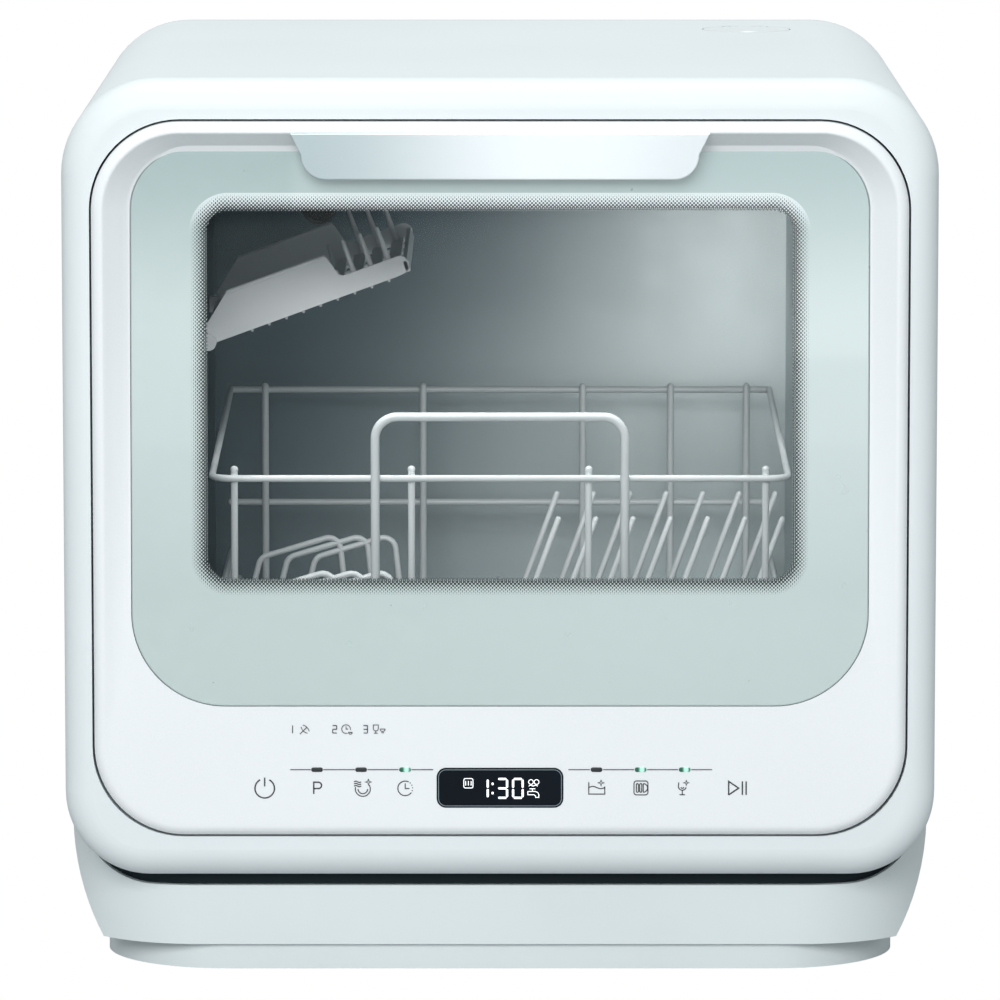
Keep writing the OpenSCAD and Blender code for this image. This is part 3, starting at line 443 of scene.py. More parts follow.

# The silver is darker towards its foot, and painted shade darkens it under the pull plate.
sheen = printed.noise(2.2, 1, (1.3, 1, 0.9)).step(0.25, 0.8)
silver = printed.mix(sheen, (0.55, 0.63, 0.62), (0.61, 0.68, 0.68))
silver = printed.mix(0.35 * printed.z.step(0.27, 0.15), silver, (0.43, 0.55, 0.52))
silver = printed.mix(0.8 * printed.z.step(0.31, 0.41), silver, (0.26, 0.35, 0.35))
dot_silver = printed.mix(printed.z.step(0.36, 0.377), silver, (0.62, 0.69, 0.70))
silver = printed.mix(solid, dot_silver, silver)
printed.set("Base Color", printed.mix(ink, (0.012, 0.018, 0.02), silver))
printed.set("Alpha", ink.most(ground) * 0.96 + 0.04)
printed.set("Metallic", ink * 0.35)
printed.set("Roughness", 0.26 + 0.06 * printed.noise(120, 1))

THICK, CHAMFER = 4.0, 0.4
line, small = rounded(*GLASS, inset=0.3), rounded(*GLASS, inset=0.8)
rings = [
    (small, glass_plane(small, THICK)),
    (line, glass_plane(line, THICK - CHAMFER)),
    (line, glass_plane(line, CHAMFER)),
    (small, glass_plane(small)),
]
pane = [loft(rings, caps=True)]
piece("door_glass", pane, printed, "door", ["glass_panel"], "glass_print")

inner = Finish("clear_glass", Alpha=0.03, Roughness=0.04)
inner.set("Base Color", inner.tint((0.5, 0.6, 0.6), inner.noise(20), 0.2))
inner.bump(inner.noise(9, 1), 0.00002).give("glass_inner")

# ---------------------------------------------------------------- pull plate
# A pressed tray of silver-anodised aluminium, brushed from side to side, held to the shell
# by two folded tabs that reach back under the top edge.
anodised = Finish("brushed_aluminium", Metallic=0.3)
brush = anodised.noise(55, 5, (1, 20, 60), 0.7)
# A painted reflection: the colour is dark at the left end, brightest just right of the middle
# and a little dimmer at the right end.
sweep = anodised.x.step(-0.095, 0.02) - 0.25 * anodised.x.step(0.04, 0.1)
silver = anodised.mix(sweep, (0.45, 0.53, 0.55), (0.84, 0.88, 0.90))
anodised.set("Base Color", silver)
anodised.set("Roughness", 0.24 + 0.14 * brush).bump(brush, 0.00003)
PULL_TOP, PULL_FOOT, PULL_CORNER = 410.2, 388.0, 12
PULL_HALF_TOP, PULL_HALF_FOOT = 100, 95


def tray(inset):
    """Front view of the tray, drawn in by inset: straight top, sides that close downwards.

    Each lower corner is a quarter arc about a point one corner radius in from the foot.
    """
    half, low = PULL_HALF_TOP - inset, PULL_HALF_FOOT - inset
    r, high = PULL_CORNER - inset, PULL_FOOT + PULL_CORNER
    turn = np.radians(np.linspace(180, 270, 13))
    left = np.column_stack([-low + r + r * np.cos(turn), high + r * np.sin(turn)])
    right = left[::-1] * (-1, 1)
    top = [[half, PULL_TOP - inset], [-half, PULL_TOP - inset]]
    return np.concatenate([top, left, right])


front, back = FACE - 1.5, FACE + 0.5
rings = [(tray(0.5), back), (tray(0), back - 0.4), (tray(0), front + 0.5)]
rings += [(tray(0.15), front + 0.15), (tray(0.6), front)]
plate = [loft(rings, caps=True)]
TAB_HALF, TAB_TOP, TAB_FOOT = 6, 409.4, 404.6
for x in (-80, 80):
    right, left = x + TAB_HALF, x - TAB_HALF
    tab = [[right, TAB_TOP], [left, TAB_TOP], [left, TAB_FOOT], [right, TAB_FOOT]]
    tab = np.array(tab)
    plate.append(loft([(tab, FACE + 12), (tab, back - 0.2)], caps=True))
piece("pull_tray", plate, anodised, "door", ["pull_plate"], "pull_silver")

# ---------------------------------------------------------------- display
# A black window whose bevelled edge carries a painted highlight; its figures are cut in the
# light mask below.
black = Finish("display_black", Specular_IOR_Level=0.12)
haze = black.noise(40, 2)
black.set("Base Color", black.tint((0.006, 0.010, 0.016), haze, 0.4))
black.set("Roughness", 0.12 + 0.1 * haze)
DISPLAY = (61, 19.5, 4.6, 4.6, 84.7)
rings = [(rounded(*DISPLAY), FACE + 1.5), (rounded(*DISPLAY), FACE)]
rings += [(rounded(*DISPLAY, inset=0.25), FACE - 0.25)]
rings += [(rounded(*DISPLAY, inset=1.0), FACE - 0.12)]
window = [loft(rings, caps=True)]
piece("display_glass", window, black, "door", ["display_window"], "display_black")

lit = Finish("lit_figures", Roughness=0.4, Emission_Strength=0.9)
glow = lit.noise(700, 1)
lit.set("Base Color", lit.mix(glow, (0.75, 0.8, 0.82), (0.9, 0.93, 0.95)))
lit.set("Emission Color", lit.mix(glow, (0.8, 0.86, 0.88), (0.95, 0.98, 1.0)))
PRINT = FACE - 0.07  # the print's depth on the panel


def ribbon(points, width, depth=PRINT):
    """A flat stroke along points (X, Z): each joint is mitred, its ends are cut square.

    At each point the stroke's two sides lie along the normal of the mean direction, half a
    width out divided by the cosine of half the bend.
    """
    p = np.asarray(points, float)
    d = np.diff(p, axis=0)
    d /= np.linalg.norm(d, axis=1)[:, None]
    before, after = np.vstack([d[:1], d]), np.vstack([d, d[-1:]])
    along = before + after
    along /= np.linalg.norm(along, axis=1)[:, None]
    side = np.column_stack([-along[:, 1], along[:, 0]])
    reach = width / 2 / np.maximum((along * after).sum(1), 0.35)
    left, right = p + side * reach[:, None], p - side * reach[:, None]
    flat = np.concatenate([left, right])
    n = len(p)
    faces = [[i, n + i, n + i + 1, i + 1] for i in range(n - 1)]
    return np.column_stack([flat[:, 0], np.full(2 * n, depth), flat[:, 1]]), faces


def arc(cx, cz, r, start, end, n=28):
    """Points on a circle's arc, its angles in degrees, anticlockwise from the right."""
    a = np.radians(np.linspace(start, end, n))
    return np.column_stack([cx + r * np.cos(a), cz + r * np.sin(a)])


def closed(line):
    """The same outline with its first point once more at the end."""
    return np.vstack([line, line[:1]])


def capsule(start, end, width, depth, n=6):
    """A flat stroke with half-round ends of n points each, as one polygon."""
    run = np.subtract(end, start)
    turn = math.atan2(run[1], run[0])
    a = np.linspace(-math.pi / 2, math.pi / 2, n) + turn
    tip = np.column_stack([np.cos(a), np.sin(a)]) * width / 2
    line = np.concatenate([np.asarray(end) + tip, np.asarray(start) - tip])
    spots = np.column_stack([line[:, 0], np.full(2 * n, depth), line[:, 1]])
    return spots, [list(range(2 * n))]


# Each bar of a seven-bar figure joins two corners of a grid that is 1 wide and 2 high.
SEGMENTS = {
    "a": ((0, 2), (1, 2)),
    "b": ((1, 2), (1, 1)),
    "c": ((1, 1), (1, 0)),
    "d": ((0, 0), (1, 0)),
    "e": ((0, 1), (0, 0)),
    "f": ((0, 2), (0, 1)),
    "g": ((0, 1), (1, 1)),
}
FIGURES = {"1": "bc", "2": "abged", "3": "abgcd", "0": "abcdef"}


def figure(sign, x, z, w, h, width, depth, gap=0.75):
    """A seven-bar figure with its lower left corner at (x, z).

    Gap is the share of a bar's width by which each of its ends stays short of the corner.
    """
    strokes = []
    for bar in FIGURES[sign]:
        ends = np.array(SEGMENTS[bar], float) * (w, h / 2) + (x, z)
        run = ends[1] - ends[0]
        ends += np.array([[1], [-1]]) * run / np.linalg.norm(run) * width * gap
        strokes.append(capsule(ends[0], ends[1], width, depth))
    return strokes


LIT = FACE - 0.16  # the figures' depth, just before the black window
DIGIT_FOOT, DIGIT_TALL, DIGIT_BAR = 89.6, 9.2, 1.05
digits = []
for sign, x, wide in (("1", -9.4, 3.5), ("3", -1.2, 4.6), ("0", 6.3, 4.6)):
    digits += figure(sign, x, DIGIT_FOOT, wide, DIGIT_TALL, DIGIT_BAR, LIT)
digits += [capsule((-3.55, z - 0.1), (-3.55, z + 0.1), 1.1, LIT) for z in (91.9, 96.4)]

# Three small signs: a grid in a frame, two rings over a wave, and a tap.
signs = [closed(rounded(4.4, 4.6, 0.8, 0.8, 94.4, n=5) - (15.2, 0))]
signs += [[(x, 95.6), (x, 97.8)] for x in (-16.5, -15.2, -13.9)]
signs += [arc(14.9, 97.3, 1.15, 0, 360, 18), arc(17.6, 97.3, 1.15, 0, 360, 18)]
signs += [[(13.8, 95.3), (14.8, 95.8), (15.9, 95.3), (17.0, 95.8), (18.2, 95.3)]]
tap = [(13.4, 92.7), (17.0, 92.7), (18.2, 92.2), (18.7, 91.2), (18.7, 89.8), (17.2, 89.8)]
tap += [(17.0, 90.6), (16.3, 91.1), (13.4, 91.1), (13.4, 92.7)]
signs += [tap, [(15.6, 92.7), (15.6, 94.0)], [(14.2, 94.0), (17.0, 94.0)]]
digits += [ribbon(s, 0.36, LIT) for s in signs]
piece("display_figures", digits, lit, "door", (), "light_pipe", flat=True)

# The bevel's bright edge is a painted highlight: a flat grey stroke laid along it.
shine = moulded("display_bevel_highlight", (0.20, 0.26, 0.29), 0.2, 900)
bevel = [ribbon(closed(rounded(*DISPLAY, inset=0.95)), 0.34, FACE - 0.2)]
piece("display_edge_highlight", bevel, shine, "door", (), "dark_trim", flat=True)

# ---------------------------------------------------------------- lamps and marks
# Six small lenses stand in the panel on two fine printed lines; three are lit green.
# The touch marks are screen-printed in dark grey, with plain numbers for the programs.
lens_off = Finish("lamp_off")
dark_lens = lens_off.tint((0.030, 0.034, 0.036), lens_off.noise(900), 0.4)
lens_off.set("Base Color", dark_lens)
lens_off.set("Roughness", 0.2 + 0.1 * lens_off.noise(400))

# A lit lens glows palest 0.7 mm to the right of its middle and is dark green at its ends.
lens_on = Finish("lamp_green", Roughness=0.25, Emission_Strength=0.45)
GLOW_X = (-0.0450, 0.0683, 0.0895)
off_centre = abs(lens_on.x - GLOW_X[0]).least(abs(lens_on.x - GLOW_X[1]))
off_centre = off_centre.least(abs(lens_on.x - GLOW_X[2])) + 0.0002 * lens_on.noise(900)
ends = off_centre.step(0.0003, 0.0021)
lens_on.set("Base Color", lens_on.mix(ends, (0.42, 0.75, 0.60), (0.015, 0.10, 0.06)))
lens_on.set("Emission Color", lens_on.mix(ends, (0.45, 0.95, 0.75), (0.0, 0.06, 0.03)))

LENS = (5.6, 2.2, 1.05, 1.05, 102.2)
UNLIT_LENSES, LIT_LENSES = (-88, -66.8, 46.4), (-45.7, 67.6, 88.8)
lenses = {True: [], False: []}
for x in UNLIT_LENSES + LIT_LENSES:
    line = rounded(*LENS, n=6) + (x, 0)
    small = rounded(*LENS, inset=0.35, n=6) + (x, 0)
    rings = [(line, FACE + 0.6), (line, FACE - 0.05), (small, FACE - 0.22)]
    lenses[x in LIT_LENSES].append(loft(rings, caps=True))
piece("lamps_dark", lenses[False], lens_off, "door", ["light_guides"], "light_pipe")
piece("lamps_green", lenses[True], lens_on, "door", (), "light_pipe")

print_ink = Finish("printed_marks", Roughness=0.5)
faded = print_ink.tint((0.030, 0.037, 0.041), print_ink.noise(1500), 0.3)
print_ink.set("Base Color", faded)


def star(x, z, r, points=4):
    """A closed outline whose corners lie by turns at the radius r and at 0.3 r."""
    a = np.radians(90 + np.arange(2 * points + 1) * 180 / points)
    reach = np.where(np.arange(2 * points + 1) % 2 == 0, r, r * 0.3)
    return np.column_stack([x + reach * np.cos(a), z + reach * np.sin(a)])


def wave(x, z, length, height, turns=1.0, n=14):
    """A sine line that starts at (x, z): its rise is height times the sine of the turns."""
    t = np.linspace(0, 1, n)
    return np.column_stack([x + length * t, z + height * np.sin(2 * math.pi * turns * t)])


MARK = 94.3  # Z of the touch marks' middle
LINE_Z, LINE_WIDE, BOLD, THIN, SPARK, SMALL = 103.3, 0.42, 0.66, 0.48, 0.3, 0.34
fine_lines = ((-100.9, -91), (-85, -69.8), (-63.8, -48.8), (-42.6, -32.1))
fine_lines += ((32.9, 43.2), (49.6, 64.4), (70.8, 85.6), (92, 102))
marks = [ribbon([(a, LINE_Z), (b, LINE_Z)], LINE_WIDE) for a, b in fine_lines]

# Switch, letter P, and start with pause.
bold = [arc(-113.2, MARK - 0.1, 4.7, 118, 422)]
bold += [[(-113.2, MARK + 5.1), (-113.2, MARK + 0.9)]]
bold += [[(-89.6, MARK - 2.8), (-89.6, MARK + 2.9), (-87.4, MARK + 2.9)]]
bold += [arc(-87.4, MARK + 1.35, 1.55, 90, -90, 12)]
bold += [[(-87.4, MARK - 0.2), (-89.6, MARK - 0.2)]]
bold += [closed(np.array([(110, MARK - 3.3), (110, MARK + 3.3), (114.8, MARK)]))]
bold += [[(x, MARK - 3.3), (x, MARK + 3.3)] for x in (116.6, 118.4)]
marks += [ribbon(s, BOLD) for s in bold]

# Bowl with steam, and clock with a dotted quarter.
thin = [arc(-66.0, MARK - 0.4, 3.6, 165, 395), arc(-66.0, MARK - 0.4, 2.3, 180, 360)]
thin += [wave(-70.2, MARK + 1.0 + k * 1.05, 3.4, 0.32) for k in range(3)]
thin += [arc(-45.6, MARK - 0.1, 3.55, 62, 325)]
thin += [[(-45.6, MARK + 2.3), (-45.6, MARK - 0.2), (-43.6, MARK - 0.2)]]
thin += [arc(-45.6, MARK - 0.1, 3.55, t, t + 8, 3) for t in (-22, 0, 22, 44)]
# Basin with water, grid in a frame, and glass.
thin += [[(42.7, MARK + 2.9), (42.7, MARK - 2.9), (50.4, MARK - 2.9), (50.4, MARK + 0.8)]]
thin += [wave(42.7, MARK + 0.3, 7.7, 0.55)]
thin += [closed(rounded(6.7, 6.8, 1.2, 1.2, MARK - 3.3, n=5) + (67.8, 0))]
slot = rounded(1.0, 4.2, 0.45, 0.45, MARK - 2.0, n=3)
thin += [closed(slot + (x, 0)) for x in (66.1, 67.7)]
thin += [[(68.9, MARK - 2), (68.9, MARK + 2.2)], arc(68.9, MARK + 0.1, 2.1, -90, 90, 12)]
thin += [[(86.0, MARK + 2.8), (85.8, MARK + 0.9)], arc(87.7, MARK + 0.9, 1.9, 180, 345, 14)]
thin += [[(87.7, MARK - 1.0), (87.7, MARK - 3.2)], [(86.4, MARK - 3.2), (89.0, MARK - 3.2)]]
thin += [arc(87.7, MARK + 0.7, 0.8, 200, 340, 6)]
marks += [ribbon(s, THIN) for s in thin]
sparks = [star(-63.3, MARK + 3.0, 1.5), star(48.6, MARK + 2.6, 1.5)]
sparks += [star(89.6, MARK + 2.6, 1.3)]
marks += [ribbon(s, SPARK) for s in sparks]

# The row above, one sign to a program: leaf, clock with a cup, and two glasses.
small = [arc(-95.6, 121.1, 4.0, 12, 78, 10), arc(-91.7, 125.0, 4.0, 192, 258, 10)]
small += [[(-96.2, 120.6), (-92.8, 124.0)]]
small += [arc(-74.0, 123.1, 2.1, -10, 290, 20)]
small += [[(-74.0, 124.4), (-74.0, 123.1), (-73.0, 123.1)]]
small += [[(-72.9, 121.5), (-71.0, 121.5)], arc(-71.9, 121.5, 0.9, 180, 360, 8)]
small += [[(-60.9, 123.4), (-60.9, 125.1), (-58.5, 125.1), (-58.5, 123.4)]]
small += [arc(-59.7, 123.4, 1.2, 180, 360, 10), [(-59.7, 122.2), (-59.7, 121.1)]]
small += [[(-60.6, 121.1), (-58.8, 121.1)], [(-57.6, 123.1), (-55.2, 123.1)]]
small += [arc(-56.4, 123.1, 1.2, 180, 360, 10), [(-57.0, 121.3), (-55.8, 121.3)]]
marks += [ribbon(s, SMALL) for s in small]
NUMBER_FOOT, NUMBER_WIDE, NUMBER_TALL, NUMBER_BAR = 121.2, 1.9, 3.6, 0.42
for sign, x in (("1", -101.6), ("2", -80.4), ("3", -65.6)):
    marks += figure(
        sign, x, NUMBER_FOOT, NUMBER_WIDE, NUMBER_TALL, NUMBER_BAR, PRINT, gap=0.3
    )
piece("touch_marks", marks, print_ink, "door", (), "dark_trim", flat=True)

# ---------------------------------------------------------------- rack
# Welded steel wire dipped in light grey nylon: grids at four sides, a floor, two rows of
# plate tines, slanted cup loops, and a thicker bent handle at the front.
nylon = Finish("nylon_coat", Coat_Weight=0.3, Coat_Roughness=0.15)
dip = nylon.noise(70, 3)
nylon.set("Base Color", nylon.tint((0.82, 0.87, 0.88), dip, 0.12))
nylon.set("Roughness", 0.3 + 0.15 * dip).bump(nylon.noise(500, 2), 0.00008)


def skin(rings, sides):
    """Quads between each ring of points and the next, all rings having the same count."""
    faces = []
    for here in range(0, (rings - 1) * sides, sides):
        for i in range(sides):
            j = (i + 1) % sides
            faces.append([here + i, here + j, here + sides + j, here + sides + i])
    return faces


def tube(points, r, sides=12):
    """A round wire through points; r is its radius, or one radius for each point.

    The ring at a point is square to the mean direction there, its radius divided by the
    cosine of half the bend. Each end is a dome: at an angle t from its tip, a ring lies
    r cos t beyond the point and has radius r sin t.
    """
    p = np.asarray(points, float)
    d = np.diff(p, axis=0)
    d /= np.linalg.norm(d, axis=1)[:, None]
    along = np.vstack([d[:1], d[:-1] + d[1:], d[-1:]])
    along /= np.linalg.norm(along, axis=1)[:, None]
    r = np.broadcast_to(r, len(p))
    dome = (0.15, 0.6, 1.1)
    stops = [(p[0], along[0], -r[0] * math.cos(t), r[0] * math.sin(t)) for t in dome]
    for i, (q, a) in enumerate(zip(p, along)):
        stops.append((q, a, 0.0, r[i] / max(0.5, a @ d[min(i, len(d) - 1)])))
    last, end = r[-1], along[-1]
    stops += [(p[-1], end, last * math.cos(t), last * math.sin(t)) for t in dome[::-1]]
    guide = np.array([0, 1, 0]) if abs(along[0][1]) < 0.9 else np.array([0, 0, 1])
    a = np.linspace(0, 2 * math.pi, sides, endpoint=False)[:, None]
    rings = []
    for q, t, shift, size in stops:
        u = np.cross(guide, t)
        u /= np.linalg.norm(u)
        v = np.cross(t, u)
        rings.append(q + t * shift + size * (np.cos(a) * u + np.sin(a) * v))
    top = (len(rings) - 1) * sides
    caps = [list(range(sides))[::-1], list(range(top, top + sides))]
    return np.concatenate(rings), skin(len(rings), sides) + caps


def bent(points, radius, n=7):
    """The same path with each inner corner rounded by n points.

    A rounding starts at the radius over the tangent of half the corner's angle from the
    corner, but never past 0.49 of a side.
    """
    p = [np.asarray(q, float) for q in points]
    path = [p[0]]
    for a, b, c in zip(p, p[1:], p[2:]):
        before, after = np.linalg.norm(a - b), np.linalg.norm(c - b)
        u, v = (a - b) / before, (c - b) / after
        half = math.acos(max(-1, min(1, u @ v))) / 2
        if half > 1.55:
            continue
        run = min(radius / math.tan(half), 0.49 * before, 0.49 * after)
        first, last = b + u * run, b + v * run
        centre = b + (u + v) / np.linalg.norm(u + v) * run / math.cos(half)
        for t in np.linspace(0, 1, n):
            spot = first + t * (last - first) - centre
            reach = np.linalg.norm(first - centre)
            path.append(centre + spot / np.linalg.norm(spot) * reach)
    return path + [p[-1]]


def knob(x, y, z, r, sides=12):
    """A ball about (x, y, z), open at its poles.

    At an angle t from its foot, a ring lies r cos t below the middle and has radius r sin t.
    """
    a = np.linspace(0, 2 * math.pi, sides, endpoint=False)
    circle = np.column_stack([np.cos(a), np.sin(a), 0 * a])
    turns = np.radians(np.linspace(4, 176, 9))
    rings = [[x, y, z - r * math.cos(t)] + r * math.sin(t) * circle for t in turns]
    return np.concatenate(rings), skin(len(turns), sides)


def post(x, y, foot, head, r, sides=12):
    """An upright wire from foot to head."""
    return tube([(x, y, foot), (x, y, head)], r, sides)


RACK_FRONT, RACK_DEEP, RACK_FLOOR = -170.0, 278.0, 150.0
SIDE = 140.0  # X of the side grids' wires
RAIL = 238.0  # Z of the front rail, from which the side rails rise to the back
FENCE = RACK_FLOOR + 14  # Z of the low wires along both sides
UNDER = RACK_FLOOR - 2.4  # Z of the wires that cross under the floor
WIRE, THICKER = 1.5, 1.7
front_y, rear_y = RACK_FRONT + 4, RACK_FRONT + RACK_DEEP
cross_y = RACK_FRONT + 12 + np.arange(7) * 43


def crossing(y, z):
    """A wire from side to side."""
    return tube([(-SIDE, y, z), (SIDE, y, z)], THICKER)


floor = []
for x in np.linspace(-136, 136, 7):
    floor.append(tube([(x, front_y, RACK_FLOOR), (x, rear_y, RACK_FLOOR)], WIRE))
floor += [crossing(y, UNDER) for y in cross_y]
piece("wire_floor", floor, nylon, "rack", ["rack_floor"], "wire_coat")

# The front rail runs round both corners and 36 mm back along the sides, rising a little.
RETURN_Y, RETURN_Z = RACK_FRONT + 40, RAIL + 1.4
path = [(-SIDE, RETURN_Y, RETURN_Z), (-SIDE, front_y, RAIL)]
path += [(SIDE, front_y, RAIL), (SIDE, RETURN_Y, RETURN_Z)]
grid = [tube(bent(path, 9), THICKER)]
grid += [crossing(front_y, z) for z in (RACK_FLOOR + 26, UNDER)]
POST_Y, KNOB = front_y + 3, 1.9
for x in (-129, -43, 43, 129):
    grid.append(post(x, POST_Y, RACK_FLOOR - 3, RAIL + 3, THICKER))
    grid.append(knob(x, POST_Y, RAIL + 4, KNOB))
piece("wire_front", grid, nylon, "rack", ["rack_front"], "wire_coat")

grid = [crossing(rear_y, z) for z in (RACK_FLOOR + 99, RACK_FLOOR + 40, UNDER)]
for x in (-122, -40, 43, 88.6, 128):
    grid.append(post(x, rear_y - 3, RACK_FLOOR - 3, RACK_FLOOR + 101, 1.8))
piece("wire_rear", grid, nylon, "rack", ["rack_rear"], "wire_coat")

grid = []
for x in (-SIDE, SIDE):
    grid.append(tube([(x, RACK_FRONT + 38, RAIL + 1.3), (x, rear_y, RAIL + 11)], THICKER))
    grid.append(tube([(x, front_y, FENCE), (x, rear_y, FENCE)], THICKER))
    grid += [post(x, y, RACK_FLOOR - 3, FENCE, WIRE) for y in cross_y]
piece("wire_sides", grid, nylon, "rack", ["rack_sides"], "wire_coat")

HANDLE, HANDLE_FOOT, HANDLE_TOP = 60.5, RACK_FLOOR + 23, 268.5
y = RACK_FRONT + 0.4
path = [(-HANDLE, y, HANDLE_FOOT), (-HANDLE, y, HANDLE_TOP)]
path += [(HANDLE, y, HANDLE_TOP), (HANDLE, y, HANDLE_FOOT)]
handle = [tube(bent(path, 10.5, 10), 2.2, 16)]
piece("wire_handle", handle, nylon, "rack", ["rack_grip"], "wire_coat")

TINE, LEANING, TINE_FOOT = 58, math.radians(20), RACK_FLOOR + 3
lean_x, rise = TINE * math.sin(LEANING), TINE * math.cos(LEANING)
ROWS = (("tine_row_front", RACK_FRONT + 82, "tines_front"),)
ROWS += (("tine_row_rear", RACK_FRONT + 178, "tines_rear"),)
for name, y, node in ROWS:
    row = [tube([(1, y, TINE_FOOT), (126, y, TINE_FOOT)], WIRE)]
    for x in 9 + np.arange(7) * 18.5:
        row.append(tube([(x, y, TINE_FOOT), (x + lean_x, y, TINE_FOOT + rise)], WIRE))
    piece(name, row, nylon, "rack", [node], "wire_coat")

# Each cup loop rises steeply, slants on for 40 mm and drops back to the floor.
LOOP = ((0, 0), (6, 24), (46, 36), (50, 0))
loops = []
for y in (cross_y[1], cross_y[4]):
    for x in (-128, -114, -100):
        path = [(x + out, y, RACK_FLOOR + up) for out, up in LOOP]
        loops.append(tube(bent(path, 6, 6), WIRE))
piece("wire_cup_loops", loops, nylon, "rack", ["cup_loops"], "wire_coat")

# ---------------------------------------------------------------- cup shelf
# A moulded white rack that hangs on stub pins in a bracket on the wall and folds up out of
# the way. Two cheeks carry ten slats, four ribs under them, and rows of prongs.
shelf_white = moulded("shelf_white", (0.80, 0.83, 0.84), 0.3, 1800, 0.2)
SHELF_X, SHELF_Y, SHELF_Z, TILT = -144.0, -87.0, 296.0, math.radians(20)


def on_shelf(part):
    """Turns a part from the shelf's own axes (out from the wall, depth, up) to the frame."""
    spots, faces = part
    out, deep, up = np.asarray(spots, float).T
    x = SHELF_X + out * math.cos(TILT) - up * math.sin(TILT)
    z = SHELF_Z + out * math.sin(TILT) + up * math.cos(TILT)
    return np.column_stack([x, SHELF_Y + deep, z]), faces


def slab(low, high):
    """A box between two corners."""
    corner = np.array([[i & 1, i >> 1 & 1, i >> 2] for i in range(8)])
    faces = [[0, 2, 3, 1], [4, 5, 7, 6], [0, 1, 5, 4]]
    faces += [[2, 6, 7, 3], [0, 4, 6, 2], [1, 3, 7, 5]]
    return np.asarray(low) + corner * (np.asarray(high) - np.asarray(low)), faces


# A cheek's outline, out from the wall and up: along the foot, round the tip, over the low
# lip, up the step, and down the leaning rear edge that clears the wall when it folds.
cheek = [(1, -1.5), (98, -1.5)]
tip = np.linspace(-1.5, 1.5, 9)
cheek += [(102 + 4 * math.cos(a), 3.2 + 4.4 * math.sin(a)) for a in tip]
cheek += [(74, 7.6), (71.5, 9), (69, 18.6), (67.5, 20), (17, 20), (2, 8), (1, 7)]
cheek = np.array(cheek)
SHELF_DEEP, CHEEK_WIDE = 170, 2
parts = []
for y in (0, SHELF_DEEP - CHEEK_WIDE):
    parts.append(loft([(cheek, y + CHEEK_WIDE), (cheek, y)], caps=True))
    parts.append(tube([(17.5, y + 1, 19.6), (67.4, y + 1, 19.6)], 1.3))
parts.append(tube([(0, 0, 0), (0, SHELF_DEEP, 0)], 3, 20))
parts.append(slab((103.6, 0, -1.2), (105.8, SHELF_DEEP, 4.5)))
slats = [2 + k * 10.2 for k in range(10)]
parts += [slab((x, 1, -1.2), (x + 6.6, SHELF_DEEP - 1, 0.8)) for x in slats]
parts += [slab((2, y, -1.5), (105, y + 2.4, 0.2)) for y in (34, 67, 101, 134)]
edges = (7, 162)
parts += [post(x, y, 0, 23.5, (1.7, 1.0)) for x in (79, 88, 97) for y in edges]
parts += [post(x, y, 0, 10.5, (1.5, 0.9)) for x in (63, 71) for y in edges]
parts += [post(x, y, 0, -2.5, (1.1, 0.7), 10) for x in range(22, 100, 9) for y in (3, 85)]
parts = [on_shelf(part) for part in parts]
stood = ["cup_shelf"]
shelf = piece("moulded_shelf", parts, shelf_white, "cup_shelf", stood, "white_plastic")
edge_round = shelf.modifiers.new("edge", "BEVEL")
edge_round.width, edge_round.segments, edge_round.limit_method = 0.0004, 2, "ANGLE"

# ---------------------------------------------------------------- stage
# A pale sweep under the machine, soft boxes before and above it, and a white surrounding.
# The camera sees the paper as plain white, while the machine only gets its dim light.
bpy.ops.mesh.primitive_plane_add(size=14, location=(0, 0, -0.0002))
floor_piece = bpy.context.object
floor_piece.name = "studio_floor"
paper = Finish("studio_paper", Roughness=0.9)
paper.set("Base Color", paper.tint((0.42, 0.43, 0.44), paper.noise(3), 0.02))
tree = paper.material.node_tree
seen = Wire(tree, tree.nodes.new("ShaderNodeLightPath").outputs["Is Camera Ray"])
lit_paper = Wire(tree, paper.shader.outputs[0])
white_light = seen.node("Emission", {"Color": (1, 1, 1, 1), "Strength": 1.0})
surface = seen.node("MixShader", {0: seen, 1: lit_paper, 2: white_light})
tree.links.new(surface.socket, tree.nodes["Material Output"].inputs["Surface"])
paper.give(floor_piece)

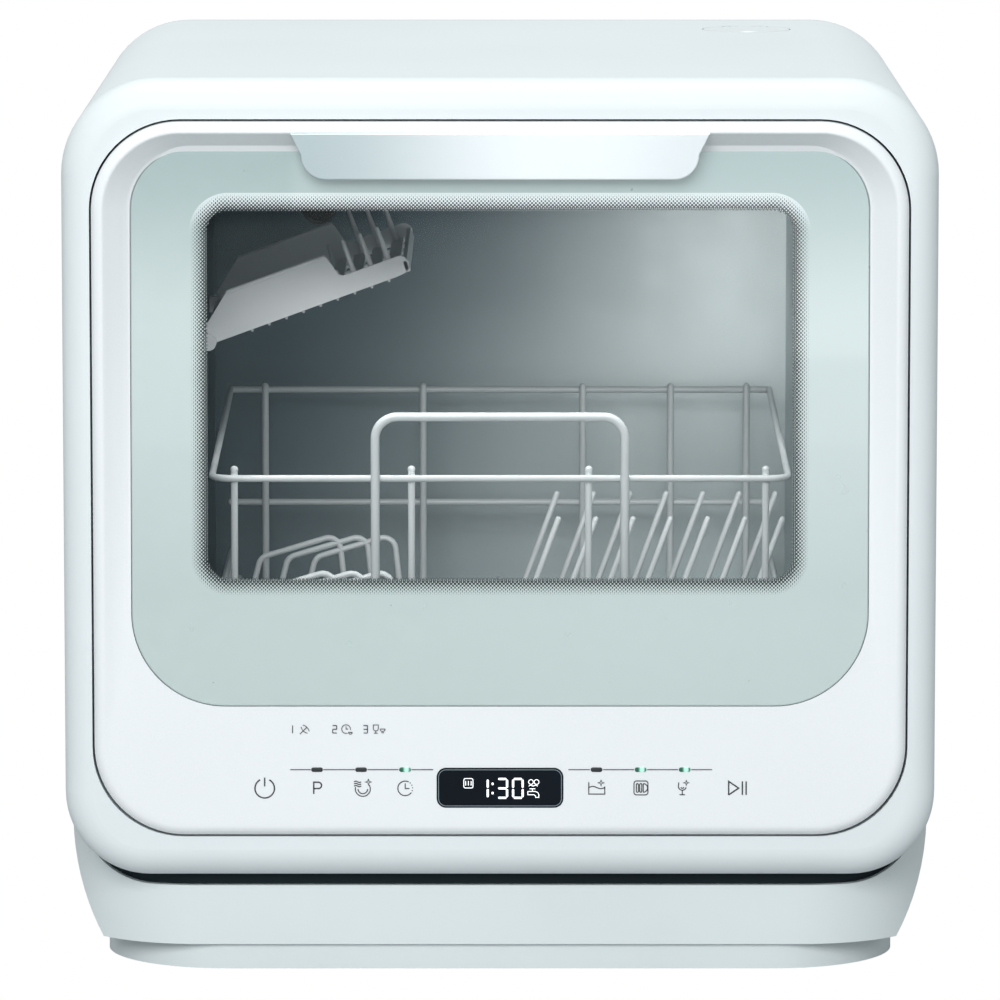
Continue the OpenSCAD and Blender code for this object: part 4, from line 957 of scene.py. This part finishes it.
# The surrounding is full white to the camera, and half as bright and a little cyan to the
# machine, with more strength in its glossy reflections.
world = bpy.data.worlds.new("studio")
bpy.context.scene.world = world
world.use_nodes = True
sky = world.node_tree.nodes["Background"]
ray = world.node_tree.nodes.new("ShaderNodeLightPath").outputs
seen = Wire(world.node_tree, ray["Is Camera Ray"])
gloss = Wire(world.node_tree, ray["Is Glossy Ray"])
seen.feed(sky.inputs["Strength"], seen * 0.5 + gloss * 0.3 + 0.5)
CYAN_WHITE, WHITE = (0.90, 0.98, 1.0, 1), (1, 1, 1, 1)
tinge = seen.node("Mix", {0: seen, 6: CYAN_WHITE, 7: WHITE}, 2, data_type="RGBA")
seen.feed(sky.inputs["Color"], tinge)


def soft_box(name, place, aim, size, watts, spread=180):
    """A rectangular lamp that faces a point, its light kept within the spread in degrees."""
    lamp = bpy.data.lights.new(name, "AREA")
    lamp.shape, lamp.size, lamp.size_y = "RECTANGLE", size[0], size[1]
    lamp.energy, lamp.spread = watts, math.radians(spread)
    holder = bpy.data.objects.new(name, lamp)
    bpy.context.collection.objects.link(holder)
    holder.location = place
    holder.rotation_euler = (Vector(aim) - Vector(place)).to_track_quat("-Z", "Y").to_euler()


soft_box("key", (-0.45, -2.8, 1.55), (0, -0.2, 0.2), (1.8, 1.2), 54)
soft_box("fill", (0.3, -3.2, 0.9), (0, -0.2, 0.2), (1.0, 1.4), 5)
soft_box("top", (0, 0.1, 2.0), (0, 0, 0.3), (1.4, 1.4), 12.5)
# Two small ones stand in for the light that the white room throws into the chamber.
soft_box("chamber_side", (0.145, -0.10, 0.30), (0.02, 0.15, 0.27), (0.12, 0.10), 0.075, 150)
soft_box("chamber_front", (0, -0.166, 0.392), (0, -0.166, 0.2), (0.27, 0.008), 0.16, 110)

# The camera stands where the photo's depth lines put it, about 3.65 m before the door.
camera = bpy.data.cameras.new("camera")
camera.lens, camera.sensor_width, camera.clip_end = 277.0, 36, 40
eye = bpy.data.objects.new("camera", camera)
bpy.context.collection.objects.link(eye)
eye.location = (0, -3.867, 0.72)
aim = Vector((0, -0.197, 0.2316))
eye.rotation_euler = (aim - eye.location).to_track_quat("-Z", "Y").to_euler()
bpy.context.scene.camera = eye
bpy.context.scene.view_settings.view_transform = "Standard"
